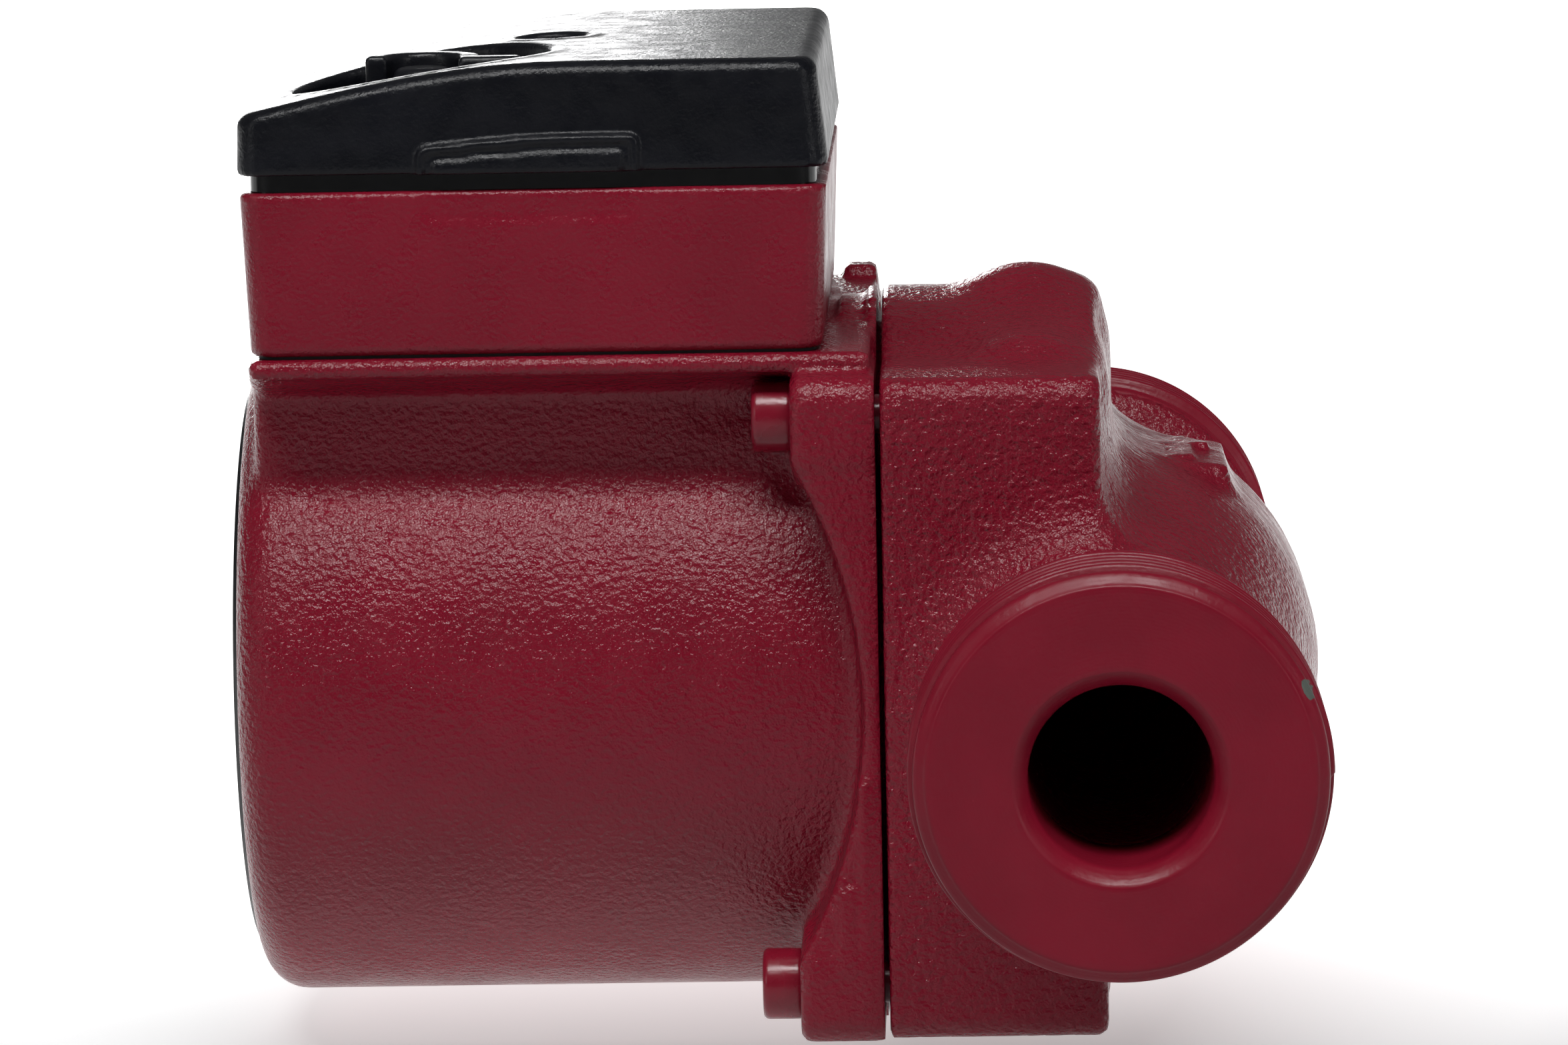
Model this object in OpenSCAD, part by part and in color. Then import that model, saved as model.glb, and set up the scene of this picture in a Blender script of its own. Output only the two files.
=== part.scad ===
// Wet-rotor circulator pump for heating pipework, in millimetres.
// The origin is the centre of the inlet port's sealing face. The pipe runs along +Y, in the flow direction.
// +X points along the rotor axis to the pump's back, and the terminal box is on top (+Z).
// Every module below draws in the pump's middle plane, and at_pump() moves it to y = port_span / 2.

/* [Ports] */
// Distance between the two sealing faces
port_span = 180; // [170:1:190]
// Major radius of the G 1 1/2 thread
thread_r = 23.9; // [23.8:0.05:24]
// Pitch of the thread, 11 turns to the inch
thread_pitch = 2.309; // [2.3:0.001:2.32]
// Radius of the waterway in the inlet port
bore_r = 10.4; // [9.5:0.1:10.4]
// Radius of the waterway in the outlet port
outlet_bore_r = 10.8; // [10.4:0.1:11.2]
// Radius of the pipe just behind each thread
pipe_neck_r = 16.4; // [15.5:0.1:18]
// Radius of the pipe's belly
belly_r = 25.8; // [24:0.1:27]

/* [Volute] */
// Radius of the volute drum
drum_r = 45.2; // [44:0.1:47]
// Place of the drum's back face along the rotor axis
drum_back_x = -0.9; // [-2:0.1:0]
// Place of the pump housing's joint face
joint_x = -26.8; // [-28:0.1:-26]
// Half width of the square flange
flange_half_y = 45.5; // [45:0.1:47]
// Half height of the square flange
flange_half_z = 39.5; // [39:0.1:41]
// Radius of the volute chamber
chamber_r = 36.5; // [34:0.5:37]
// Depth of the volute chamber from the joint face
chamber_depth = 13.3; // [12:0.1:13.5]

/* [Motor] */
// Outer radius of the barrel
barrel_r = 40.75; // [40:0.05:41]
// Place of the barrel's closed end
barrel_end_x = -104; // [-105:0.1:-103]
// Rounding of the barrel's closed end
barrel_end_round = 5; // [3:0.5:6]
// Gap that shows between the two castings
joint_gap = 0.6; // [0.4:0.1:1]
// Place of the screw bosses' outer faces
boss_face_x = -37; // [-38:0.1:-36]
// Screw spacing from the rotor axis, sideways
screw_y = 36; // [34:0.1:38]
// Screw spacing from the rotor axis, upwards
screw_z = 34.2; // [33:0.1:35]
// Bore radius of the barrel
barrel_bore_r = 37; // [36:0.1:37.5]

/* [Rotor] */
// Radius of the shaft
shaft_r = 4; // [3.5:0.1:5]
// Radius of the clad rotor
rotor_r = 17.8; // [17:0.1:18]
// Inner radius of the rotor can
can_r = 18.3; // [18.2:0.1:18.6]
// Length of the lamination stack
stack_length = 40; // [36:1:44]
// Radius of the impeller
impeller_r = 29.5; // [27:0.5:31]
// Number of impeller vanes
vane_count = 6; // [5:1:7]
// Number of stator slots
slot_count = 24; // [12:12:24]

/* [Terminal box] */
// Half width of the box
box_half_y = 40; // [39:0.1:41]
// Left end of the box at its rim
box_left_x = -101.7; // [-103:0.1:-101]
// Right end of the box at its rim
box_right_x = -32.6; // [-33:0.1:-32]
// How far each end wall leans in at the box floor
box_draft = 0.8; // [0.2:0.1:1.2]
// Height of the shelf's underside
shelf_bottom_z = 40; // [39.5:0.1:41]
// Thickness of the shelf
shelf_thick = 2.3; // [2:0.1:2.6]
// Height of the box rim
box_rim_z = 62; // [61:0.1:63]
// Wall thickness of the box
box_wall = 2.5; // [2:0.1:3]
// Radius of the box's upright corners
box_corner_r = 3; // [2:0.1:4]
// Height of the lid's lower edge
lid_bottom_z = 64.1; // [63:0.1:65]
// Height of the lid's flat top
lid_top_z = 76.9; // [75:0.1:79]
// Wall thickness of the lid
lid_wall = 2.2; // [1.8:0.1:2.4]

/* [Controls] */
// Centre of the speed knob along the rotor axis
knob_x = -81; // [-84:0.5:-80]
// Distance of the speed knob in front of the rotor axis
knob_y = -20; // [-22:0.5:-18]
// Radius of the lid's knob opening
knob_hole_r = 15.4; // [14.5:0.1:16]
// Height of the top of the knob's bar
knob_top_z = 76.3; // [75:0.1:77]
// Centre of the lid screw along the rotor axis
lid_screw_x = -66.5; // [-68:0.5:-65]
// Centre of the cable gland along the rotor axis
gland_x = -52; // [-58:1:-48]
// Radius of the cable gland's thread
gland_r = 8; // [7:0.5:9]

/* [Fits] */
// Radial clearance of a running fit
running = 0.04; // [0.02:0.01:0.08]
// Side clearance between pieces that move past each other
side_gap = 0.35; // [0.3:0.05:0.5]

/* [Hidden] */
$fn = 96;
eps = 0.01;
motor_x = joint_x - joint_gap;
shelf_top_z = shelf_bottom_z + shelf_thick;
box_seal_thick = 0.4;
box_floor_z = shelf_top_z + box_seal_thick;
box_mid_x = (box_left_x + box_right_x) / 2;
box_length = box_right_x - box_left_x;

// Thread
thread_turns = 5;
thread_depth = 1.479;
thread_first_y = 3.5;
crest_width = 0.5;
face_r = 21.8;
lead_in_r = 23.3;
mouth_r = 12.1;
mouth_depth = 1.7;
collar_length = 15.5;

// Pipe outline: where the belly's flat and the swept neck end
pipe_flat_y = 9;
pipe_neck_y = 64;
pipe_steps = 10;

// Volute and suction mouth
chamber_floor_x = joint_x + chamber_depth;
spigot_r = 39.8;
spigot_depth = 2.2;
neck_hole_r = 11.3;
screw_r = 2.5;
screw_head_r = 4.25;
screw_head_length = 5;
screw_depth = 12;
socket_r = 2.31;
socket_depth = 2.5;
flange_corner_r = 3;
pad_base_z = 12;
pad_top_z = 24;
pad_left_x = 4.5;
pad_length = 10.6;
pad_half_y = 11;
arrow_height = 0.8;
dome_x = -9;
dome_z = 38.5;
dome_r = 9.2;
discharge_y = 45;
discharge_r = 6.2;

// Motor casting
valley_r = 59.1;
valley_floor_x = -29.4;
flange_rim = 2;
neck_half_y = 31.6;
neck_left_x = -101.6;
neck_base_z = 26;
strip_r = 44.2;
strip_x = -32.2;
strip_base_z = 24;
shelf_left_x = -101;
shelf_half_y = 41;
end_wall_x = barrel_end_x + 4.2;
nose_hole_r = 10;
lead_slot = [6, 20];
lead_slot_x = -41.8;
lead_radius = 0.9;
lead_pitch = 5;

// Rotor line, measured along the rotor axis
can_flange_thick = 0.5;
can_wall = 0.5;
can_end_x = -89.6;
pocket_r = 6;
pocket_end_x = -97.1;
nose_end_x = -101.5;
nose_r = 8.5;
vent_shank_r = 5.4;
stack_x = -41 - stack_length;
core_r = rotor_r - 0.3;
slot_inner_r = can_r + can_wall + 1.6;
slot_outer_r = 32.5;
slot_half_width = 1.5;
slot_liner = 0.15;
end_turns = 8;
plate_thick = 0.9;
plate_x = joint_x + can_flange_thick;
bearing_length = 8;
bearing_plate_hub_r = 7.4;
front_bearing_x = -33.2;
rear_bearing_x = -96;
shaft_tail_x = -96.2;
impeller_back_x = -23.7;
impeller_front_x = -15.2;
shroud_thick = 1.2;
eye_r = 9.6;
eye_end_x = -10.9;
neck_ring_r = 10;
neck_ring_end_x = -10.9;
hub_r = 6.6;

// Vent screw
vent_head_r = 9.4;
vent_head_x = nose_end_x - 3.5;
vent_head_thick = 2.3;
vent_seal_r = 8.4;

// Terminal carrier and what it holds
lip_inset = 1.2;
carrier_floor_z = 58.5;
carrier_floor_thick = 1.8;
carrier_y = [-36, 12];
switch_size = [26, 22, 10];
spindle_r = 3;
knob_r = knob_hole_r - 0.45;
knob_floor_z = 68;
knob_disc_thick = 1.6;
knob_hub_r = 4.6;
knob_fin = 2.6;
knob_bar_end = 12;
well_wall = 1.6;
well_bottom_z = 65.5;
terminal_count = 3;
terminal_pitch = 9;
terminal_block_x = -46;
terminal_block_y = -14;
terminal_block_width = 14;
terminal_block_height = 7;
terminal_block_z = carrier_floor_z + carrier_floor_thick + terminal_block_height / 2;
terminal_screw_r = 2.1;
wire_hole_r = 0.9;
earth_screw_at = [-51, 22];
capacitor_at = [-88, 24];
clip_left_x = -80.5;
clip_right_x = -54.5;
lid_left_z = 70;
lid_fall = 38;
lid_screw_r = 2;
lid_screw_head_r = 3.4;
lid_screw_hole_r = 4.1;
lid_screw_head_z = 72.5;
lid_post_r = 5;
lid_corner_r = 3;
lid_seal_thick = 0.9;
gland_z = 52;
gland_hex_r = 11;
gland_hole_gap = 0.1;
gland_thread_length = 12;
gland_hex_thick = 4;
gland_nut_length = 11;
gland_bore_r = 4.4;
gland_seal_wall = 1.6;
box_screw_head_r = 3.5;
box_screw_r = 2;
box_screw_inset = 9;
capacitor_r = 8.5;
capacitor_length = 26;

// ---- helpers ----

module at_pump() translate([0, port_span / 2, 0]) children();

// Turns what is drawn along Z so that it runs along X
module along_x(x = 0) translate([x, 0, 0]) rotate([0, 90, 0]) children();

// Turns what is drawn along Z so that it runs along Y
module along_y(y = 0) translate([0, y, 0]) rotate([-90, 0, 0]) children();

// A solid of revolution about the rotor axis, from [x, radius] points
module lathe_x(points) rotate([0, 90, 0]) rotate_extrude() polygon([for (p = points) [p[1], p[0]]]);

// A solid of revolution about the pipe axis, from [y, radius] points
module lathe_y(points) rotate([-90, 0, 0]) rotate_extrude() polygon([for (p = points) [p[1], p[0]]]);

// A tube along the rotor axis
module tube_x(x0, x1, outer, inner) lathe_x([[x0, inner], [x1, inner], [x1, outer], [x0, outer]]);

// A rectangle with round corners
module round_rect(size, r) {
    square([size[0] - 2 * r, size[1]], center = true);
    square([size[0], size[1] - 2 * r], center = true);
    for (sx = [-1, 1], sy = [-1, 1])
        translate([sx * (size[0] / 2 - r), sy * (size[1] / 2 - r)])
            circle(r);
}

// Puts a copy at each of the four housing screws
module at_screws() for (sy = [-1, 1], sz = [-1, 1]) translate([0, sy * screw_y, sz * screw_z]) children();

// The square flange with round corners, between two places along the rotor axis
module flange_block(x0, x1) along_x(x0) linear_extrude(x1 - x0)
    round_rect([2 * flange_half_z, 2 * flange_half_y], flange_corner_r);

// ---- hydraulic end ----

// Half of the pipe's outline: belly, swept neck and the step up to the thread's root
function pipe_r(t) = pipe_neck_r + (belly_r - pipe_neck_r) * (0.5 + 0.5 * cos(180 * t));
function pipe_outline(root_y) = concat(
    [[0, 0], [0, belly_r]],
    [for (i = [0 : pipe_steps])
        [pipe_flat_y + (pipe_neck_y - pipe_flat_y) * i / pipe_steps, pipe_r(i / pipe_steps)]],
    [[root_y - 4, pipe_neck_r], [root_y, thread_r - thread_depth], [root_y, 0]]
);

// Outline of the threaded collar, from its sealing face inwards, as [distance from the face, radius]
function thread_outline() = concat(
    [[0, 0], [0, face_r], [1.5, lead_in_r], [2.6, lead_in_r]],
    [for (i = [0 : thread_turns - 1], p = [
        [thread_first_y + i * thread_pitch - thread_pitch / 2 + 0.2, thread_r - thread_depth],
        [thread_first_y + i * thread_pitch - crest_width / 2, thread_r],
        [thread_first_y + i * thread_pitch + crest_width / 2, thread_r]
    ]) p],
    [[collar_length, thread_r - thread_depth], [collar_length, 0]]
);

module pipe_half() {
    lathe_y(pipe_outline(port_span / 2 - collar_length));
    translate([0, port_span / 2, 0]) mirror([0, 1, 0]) lathe_y(thread_outline());
}

// Waterway of one port: the chamfered mouth and the bore, with the mouth at y = port_span / 2
module port_bore(length, r) {
    translate([0, port_span / 2 - length, 0]) rotate([-90, 0, 0]) cylinder(r = r, h = length + 1);
    lathe_y([
        [port_span / 2 - mouth_depth, 0], [port_span / 2 - mouth_depth, r],
        [port_span / 2, mouth_r], [port_span / 2 + 1, mouth_r], [port_span / 2 + 1, 0]
    ]);
}

// Slanted way from the volute chamber into the outlet port's bore
module discharge_way() {
    run = [chamber_floor_x - 4, discharge_y - 20, 0];
    reach = norm([run[0], run[1] - discharge_y]);
    translate([0, discharge_y, 0])
        rotate([0, 0, atan2(run[1] - discharge_y, run[0])])
            rotate([0, 90, 0])
                cylinder(r = discharge_r, h = reach);
}

// Raised arrow on the pad, in the flow direction
module flow_arrow() translate([pad_left_x + pad_length / 2, 0, pad_top_z - eps]) linear_extrude(arrow_height)
    polygon([[-1.3, -9], [1.3, -9], [1.3, 1], [3.8, 1], [0, 9], [-3.8, 1], [-1.3, 1]]);

module pump_housing_shape() {
    difference() {
        union() {
            along_x(joint_x) cylinder(r = drum_r, h = drum_back_x - joint_x);
            flange_block(joint_x, drum_back_x);
            pipe_half();
            mirror([0, 1, 0]) pipe_half();
            translate([pad_left_x, -pad_half_y, pad_base_z])
                cube([pad_length, 2 * pad_half_y, pad_top_z - pad_base_z]);
            translate([dome_x, 0, dome_z]) sphere(r = dome_r);
        }
        port_bore(port_span / 2 - discharge_y, outlet_bore_r);
        mirror([0, 1, 0]) port_bore(port_span / 2, bore_r);
        sphere(r = bore_r);
        along_x(chamber_floor_x - eps) cylinder(r = neck_hole_r, h = -chamber_floor_x);
        along_x(joint_x - 1) cylinder(r = chamber_r, h = chamber_depth + 1);
        along_x(joint_x - 1) cylinder(r = spigot_r, h = spigot_depth + 1);
        discharge_way();
        at_screws() along_x(joint_x - 1) cylinder(r = screw_r, h = screw_depth + 1);
    }
    flow_arrow();
}

module pump_housing() color("#6e1122") at_pump() pump_housing_shape();

module neck_ring() color("silver") at_pump() lathe_x([
    [chamber_floor_x, neck_ring_r], [neck_ring_end_x, neck_ring_r],
    [neck_ring_end_x, neck_hole_r], [chamber_floor_x, neck_hole_r]
]);

// One vane, curved backwards on an arc
module vane() {
    arc_r = 19;
    arc_start = 8;
    difference() {
        translate([arc_start, -arc_r]) circle(arc_r);
        translate([arc_start, -arc_r]) circle(arc_r - 1.3);
        translate([-2 * arc_r, -3 * arc_r]) square([4 * arc_r, 3 * arc_r - 14]);
        translate([arc_start - 2 * arc_r - 1, -3 * arc_r]) square([2 * arc_r, 4 * arc_r]);
    }
}

module impeller() color("ivory") at_pump() {
    difference() {
        union() {
            tube_x(impeller_back_x, impeller_back_x + shroud_thick, impeller_r, 0);
            tube_x(impeller_front_x - shroud_thick, impeller_front_x, impeller_r, eye_r - 1.2);
            tube_x(impeller_front_x - eps, eye_end_x, eye_r, eye_r - 1.2);
            tube_x(impeller_back_x, impeller_front_x - 1, hub_r, 0);
            intersection() {
                along_x(impeller_back_x) cylinder(r = impeller_r, h = impeller_front_x - impeller_back_x);
                along_x(impeller_back_x + eps) linear_extrude(impeller_front_x - impeller_back_x - 1)
                    for (i = [0 : vane_count - 1]) rotate(360 / vane_count * i) vane();
            }
        }
        along_x(impeller_back_x - 1) cylinder(r = shaft_r, h = 40);
    }
}

module housing_gasket() color("#202020") at_pump()
    tube_x(plate_x + plate_thick, joint_x + spigot_depth, spigot_r - 0.2, chamber_r + 0.2);

// ---- rotor ----

module shaft() color("whitesmoke") at_pump() lathe_x([
    [shaft_tail_x, 0], [shaft_tail_x, shaft_r - 0.5], [shaft_tail_x + 0.5, shaft_r],
    [impeller_front_x, shaft_r], [impeller_front_x, 0]
]);

module rotor_core() color("dimgray") at_pump() tube_x(stack_x, stack_x + stack_length, core_r, shaft_r);

module rotor_cladding() color("silver") at_pump() lathe_x([
    [stack_x - 1.5, shaft_r], [stack_x - 1.5, rotor_r], [stack_x + stack_length + 1.5, rotor_r],
    [stack_x + stack_length + 1.5, shaft_r], [stack_x + stack_length, shaft_r],
    [stack_x + stack_length, core_r], [stack_x, core_r], [stack_x, shaft_r]
]);

module thrust_bearing() color("#2b2b2e") at_pump()
    tube_x(front_bearing_x - 3.35, front_bearing_x - side_gap, 6.8, shaft_r);

module thrust_bearing_retainer() color("#151515") at_pump() lathe_x([
    [front_bearing_x - 5.2, shaft_r], [front_bearing_x - 5.2, 8.6], [front_bearing_x - 1.4, 8.6],
    [front_bearing_x - 1.4, 6.8], [front_bearing_x - 3.35, 6.8], [front_bearing_x - 3.35, shaft_r]
]);

module front_bearing() color("whitesmoke") at_pump()
    tube_x(front_bearing_x, front_bearing_x + bearing_length, pocket_r, shaft_r + running);

module rear_bearing() color("whitesmoke") at_pump()
    tube_x(rear_bearing_x, rear_bearing_x + bearing_length * 0.75, pocket_r, shaft_r + running);

// ---- motor ----

// Pressed plate with a hub for the front bearing
module bearing_plate() color("silver") at_pump() lathe_x([
    [plate_x, spigot_r - 0.4], [plate_x, bearing_plate_hub_r], [front_bearing_x, bearing_plate_hub_r],
    [front_bearing_x, pocket_r], [front_bearing_x + bearing_length, pocket_r],
    [front_bearing_x + bearing_length, bearing_plate_hub_r + 1],
    [plate_x + plate_thick, bearing_plate_hub_r + 2], [plate_x + plate_thick, spigot_r - 0.4]
]);

// Deep-drawn can: clamped rim, thin tube, bearing pocket and the vent screw's nose
module rotor_can() color("lightgray") at_pump() lathe_x([
    [joint_x, spigot_r - 0.4], [joint_x, can_r + can_wall], [can_end_x - can_wall, can_r + can_wall],
    [can_end_x - can_wall, nose_r], [nose_end_x, nose_r], [nose_end_x, vent_shank_r + running],
    [pocket_end_x, vent_shank_r + running], [pocket_end_x, pocket_r], [can_end_x, pocket_r],
    [can_end_x, can_r], [plate_x, can_r], [plate_x, spigot_r - 0.4]
]);

// The stator's slots in cross section, made smaller all round by a distance
module slot_outline(shrink) for (i = [0 : slot_count - 1]) rotate(360 / slot_count * i)
    translate([slot_inner_r + shrink, -slot_half_width + shrink])
        square([slot_outer_r - slot_inner_r - 2 * shrink, 2 * (slot_half_width - shrink)]);

module stator_core() color("slategray") at_pump() along_x(stack_x) linear_extrude(stack_length)
    difference() {
        circle(barrel_bore_r);
        circle(can_r + can_wall);
        slot_outline(0);
    }

module windings() color("#b5651d") at_pump() {
    along_x(stack_x) linear_extrude(stack_length) slot_outline(slot_liner);
    for (x = [stack_x - end_turns, stack_x + stack_length])
        lathe_x([
            [x, slot_inner_r + 1.5], [x + 1.5, slot_inner_r], [x + end_turns - 1.5, slot_inner_r],
            [x + end_turns, slot_inner_r + 1.5], [x + end_turns, slot_outer_r - 1.5],
            [x + end_turns - 1.5, slot_outer_r], [x + 1.5, slot_outer_r], [x, slot_outer_r - 1.5]
        ]);
}

module stator_leads() color("navy") at_pump()
    for (i = [0 : 3])
        translate([lead_slot_x + lead_slot[0] / 2, (i - 1.5) * lead_pitch, slot_outer_r])
            cylinder(r = lead_radius, h = 23);

// Outline of the barrel with its rounded closed end, as [x, radius]
function barrel_points() = concat(
    [[barrel_end_x, 0]],
    [for (a = [90 : -15 : 0]) [
        barrel_end_x + barrel_end_round * (1 - sin(a)),
        barrel_r - barrel_end_round * (1 - cos(a))
    ]],
    [[motor_x, barrel_r], [motor_x, 0]]
);

// Square flange whose sides dip between the screw bosses, with a thicker strip along its round top
module motor_flange() {
    difference() {
        flange_block(boss_face_x, motor_x);
        translate([valley_floor_x - valley_r, 0, 0]) {
            rotate([90, 0, 0]) cylinder(r = valley_r, h = 200, center = true, $fn = 192);
            cylinder(r = valley_r, h = 200, center = true, $fn = 192);
        }
    }
    for (sy = [-1, 1], sz = [-1, 1])
        intersection() {
            flange_block(boss_face_x, motor_x);
            translate([0, sy * (screw_y + 2), sz * (screw_z + 1)]) along_x(boss_face_x)
                cylinder(r = 9, h = motor_x - boss_face_x);
        }
    along_x(motor_x - flange_rim) cylinder(r = drum_r, h = flange_rim);
    intersection() {
        along_x(strip_x) cylinder(r = strip_r, h = motor_x - strip_x);
        translate([strip_x, -strip_r, strip_base_z]) cube([motor_x - strip_x, 2 * strip_r, strip_r]);
    }
}

// Neck under the shelf: a block whose side walls are hollowed
module neck_block() difference() {
    translate([neck_left_x, -neck_half_y - 4, neck_base_z])
        cube([boss_face_x - neck_left_x, 2 * (neck_half_y + 4), shelf_bottom_z - neck_base_z]);
    for (s = [-1, 1])
        translate([0, s * (neck_half_y + 5.5), shelf_bottom_z - 7]) along_x(neck_left_x - 1)
            cylinder(r = 7, h = 80);
    for (s = [-1, 1])
        translate([neck_left_x - 1, s * (neck_half_y + 3) - 6, neck_base_z - 1])
            cube([80, 12, 8]);
}

module stator_housing() color("#7a1226") at_pump() {
    difference() {
        union() {
            lathe_x(barrel_points());
            motor_flange();
            neck_block();
            translate([shelf_left_x, -shelf_half_y, shelf_bottom_z])
                cube([motor_x - 0.5 - shelf_left_x, 2 * shelf_half_y, shelf_thick]);
            translate([box_right_x + 0.4, shelf_half_y - 5, shelf_bottom_z])
                cube([motor_x - 0.5 - box_right_x - 0.4, 5, shelf_thick + 1.6]);
        }
        along_x(end_wall_x) cylinder(r = barrel_bore_r, h = motor_x - end_wall_x + 1);
        along_x(barrel_end_x - 1) cylinder(r = nose_hole_r, h = 10);
        at_screws() along_x(boss_face_x - 1) cylinder(r = screw_r + 0.25, h = 20);
        at_screws() along_x(boss_face_x - 12) cylinder(r = screw_head_r + 0.5, h = 12);
        translate([lead_slot_x, -lead_slot[1] / 2, barrel_bore_r - 6])
            cube([lead_slot[0], lead_slot[1], 30]);
        at_box_screws() translate([0, 0, shelf_bottom_z - 7]) cylinder(r = box_screw_r, h = 12);
    }
    tube_x(motor_x - eps, joint_x, spigot_r - 0.4, barrel_bore_r);
}

module housing_screws() color("#7a1226") at_pump() at_screws()
    difference() {
        union() {
            along_x(boss_face_x - screw_head_length) cylinder(r = screw_head_r, h = screw_head_length);
            along_x(boss_face_x) cylinder(r = screw_r, h = joint_x + screw_depth - 1 - boss_face_x);
        }
        along_x(boss_face_x - screw_head_length - 1) cylinder(r = socket_r, h = socket_depth + 1, $fn = 6);
    }

module nameplate() color("#101012") at_pump() lathe_x([
    [barrel_end_x, nose_hole_r + 0.2], [barrel_end_x - 1.2, nose_hole_r + 0.2],
    [barrel_end_x - 1.15, 20], [barrel_end_x - 0.9, 30], [barrel_end_x - 0.5, 35],
    [barrel_end_x, 35.5]
]);

// Slotted head and plain shank; the shank runs in the can's nose
module vent_screw() color("silver") at_pump() difference() {
    lathe_x([
        [vent_head_x, 0], [vent_head_x, vent_head_r - 0.6], [vent_head_x + 0.6, vent_head_r],
        [vent_head_x + vent_head_thick, vent_head_r], [vent_head_x + vent_head_thick, vent_shank_r],
        [pocket_end_x + 0.3, vent_shank_r], [pocket_end_x + 0.3, 0]
    ]);
    translate([vent_head_x + 0.4, 0, 0]) cube([2.4, 1.8, 2 * vent_head_r + 2], center = true);
}

module vent_seal() color("#1a1a1a") at_pump()
    tube_x(vent_head_x + vent_head_thick, nose_end_x, vent_seal_r, vent_shank_r + running);

// ---- terminal box ----

// Outline of the box in plan, inset by a distance, between two heights
module box_prism(inset, z0, z1) translate([box_mid_x, 0, z0]) linear_extrude(z1 - z0)
    round_rect([box_length - 2 * inset, 2 * (box_half_y - inset)], box_corner_r);

// Side view of the box, whose ends lean in towards the floor, with a wall taken off
module box_side(inset, z0, z1) rotate([90, 0, 0]) linear_extrude(200, center = true) polygon([
    [box_left_x + box_draft + inset, z0], [box_right_x - box_draft - inset, z0],
    [box_right_x - inset, z1], [box_left_x + inset, z1]
]);

module at_box_screws() for (sx = [-1, 1], sy = [-1, 1])
    translate([box_mid_x + sx * (box_length / 2 - box_screw_inset), sy * (box_half_y - 14), 0]) children();

module terminal_box() color("#7a1226") at_pump() {
    difference() {
        intersection() {
            box_prism(0, box_floor_z, box_rim_z);
            box_side(0, box_floor_z, box_rim_z);
        }
        intersection() {
            box_prism(box_wall, box_floor_z + box_wall, box_rim_z + 1);
            box_side(box_wall, box_floor_z + box_wall - 0.01, box_rim_z + 1);
        }
        translate([lead_slot_x, -lead_slot[1] / 2, box_floor_z - 1])
            cube([lead_slot[0], lead_slot[1], box_wall + 2]);
        at_box_screws() translate([0, 0, box_floor_z - 1]) cylinder(r = box_screw_r + 0.2, h = box_wall + 2);
        translate([gland_x, box_half_y - box_wall - 1, gland_z]) rotate([-90, 0, 0])
            cylinder(r = gland_r + gland_hole_gap, h = box_wall + 2);
        for (s = [-1, 1])
            translate([clip_left_x, s * (box_half_y + 4.6) - 5, box_rim_z - 3.6])
                cube([clip_right_x - clip_left_x, 10, 5]);
    }
    difference() {
        translate([lid_screw_x, 0, box_floor_z + box_wall - eps]) cylinder(r = lid_post_r, h = 11);
        translate([lid_screw_x, 0, box_floor_z + box_wall + 2]) cylinder(r = lid_screw_r + running, h = 12);
    }
}

module box_seal() color("#151515") at_pump() difference() {
    translate([box_mid_x, 0, shelf_top_z]) linear_extrude(box_seal_thick)
        round_rect([box_length - 2 * box_draft - 1.6, 2 * box_half_y - 1.6], box_corner_r);
    translate([box_mid_x, 0, shelf_top_z - 1]) linear_extrude(3)
        round_rect([box_length - 2 * box_draft - 8, 2 * box_half_y - 8], box_corner_r);
}

module box_screws() color("silver") at_pump() at_box_screws() difference() {
    union() {
        translate([0, 0, box_floor_z + box_wall]) cylinder(r = box_screw_head_r, h = 2.4);
        translate([0, 0, shelf_bottom_z - 6])
            cylinder(r = box_screw_r, h = box_floor_z + box_wall - shelf_bottom_z + 6);
    }
    translate([0, 0, box_floor_z + box_wall + 2]) cube([5, 0.9, 1.6], center = true);
}

// Glossy insert: a rim that shows under the lid, and a bridge that carries the switch and the terminals
module terminal_carrier() color("black") at_pump() {
    difference() {
        union() {
            box_prism(lip_inset, box_rim_z, lid_bottom_z - 0.1);
            box_prism(box_wall + 0.2, carrier_floor_z, box_rim_z + eps);
        }
        box_prism(box_wall + 1.8, carrier_floor_z - 1, lid_bottom_z + 1);
    }
    difference() {
        translate([box_left_x + box_wall + 1, carrier_y[0], carrier_floor_z])
            cube([box_length - 2 * box_wall - 2, carrier_y[1] - carrier_y[0], carrier_floor_thick]);
        translate([lid_screw_x, 0, carrier_floor_z - 1]) cylinder(r = lid_screw_r + 1, h = 4);
        translate([knob_x, knob_y, carrier_floor_z - 1]) cylinder(r = spindle_r + 0.5, h = 4);
    }
}

module terminal_block() color("#d8d8d0") at_pump() difference() {
    translate([terminal_block_x, terminal_block_y, terminal_block_z])
        cube([terminal_block_width, terminal_count * terminal_pitch, terminal_block_height], center = true);
    at_terminal_screws() translate([0, 0, carrier_floor_z + 4]) cylinder(r = terminal_screw_r, h = 12);
    for (i = [0 : terminal_count - 1])
        translate([terminal_block_x, terminal_y(i), carrier_floor_z + carrier_floor_thick + 1.1])
            rotate([0, 90, 0]) cylinder(r = wire_hole_r, h = 20, center = true);
}

function terminal_y(i) = terminal_block_y + (i - (terminal_count - 1) / 2) * terminal_pitch;

module at_terminal_screws() for (i = [0 : terminal_count - 1], s = [-1, 1])
    translate([terminal_block_x + s * 3.6, terminal_y(i), 0]) children();

module terminal_screws() color("silver") at_pump() at_terminal_screws() difference() {
    translate([0, 0, carrier_floor_z + 4]) cylinder(r = terminal_screw_r, h = 4.2);
    translate([0, 0, carrier_floor_z + 8.2]) cube([5, 0.8, 1.2], center = true);
}

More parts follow.
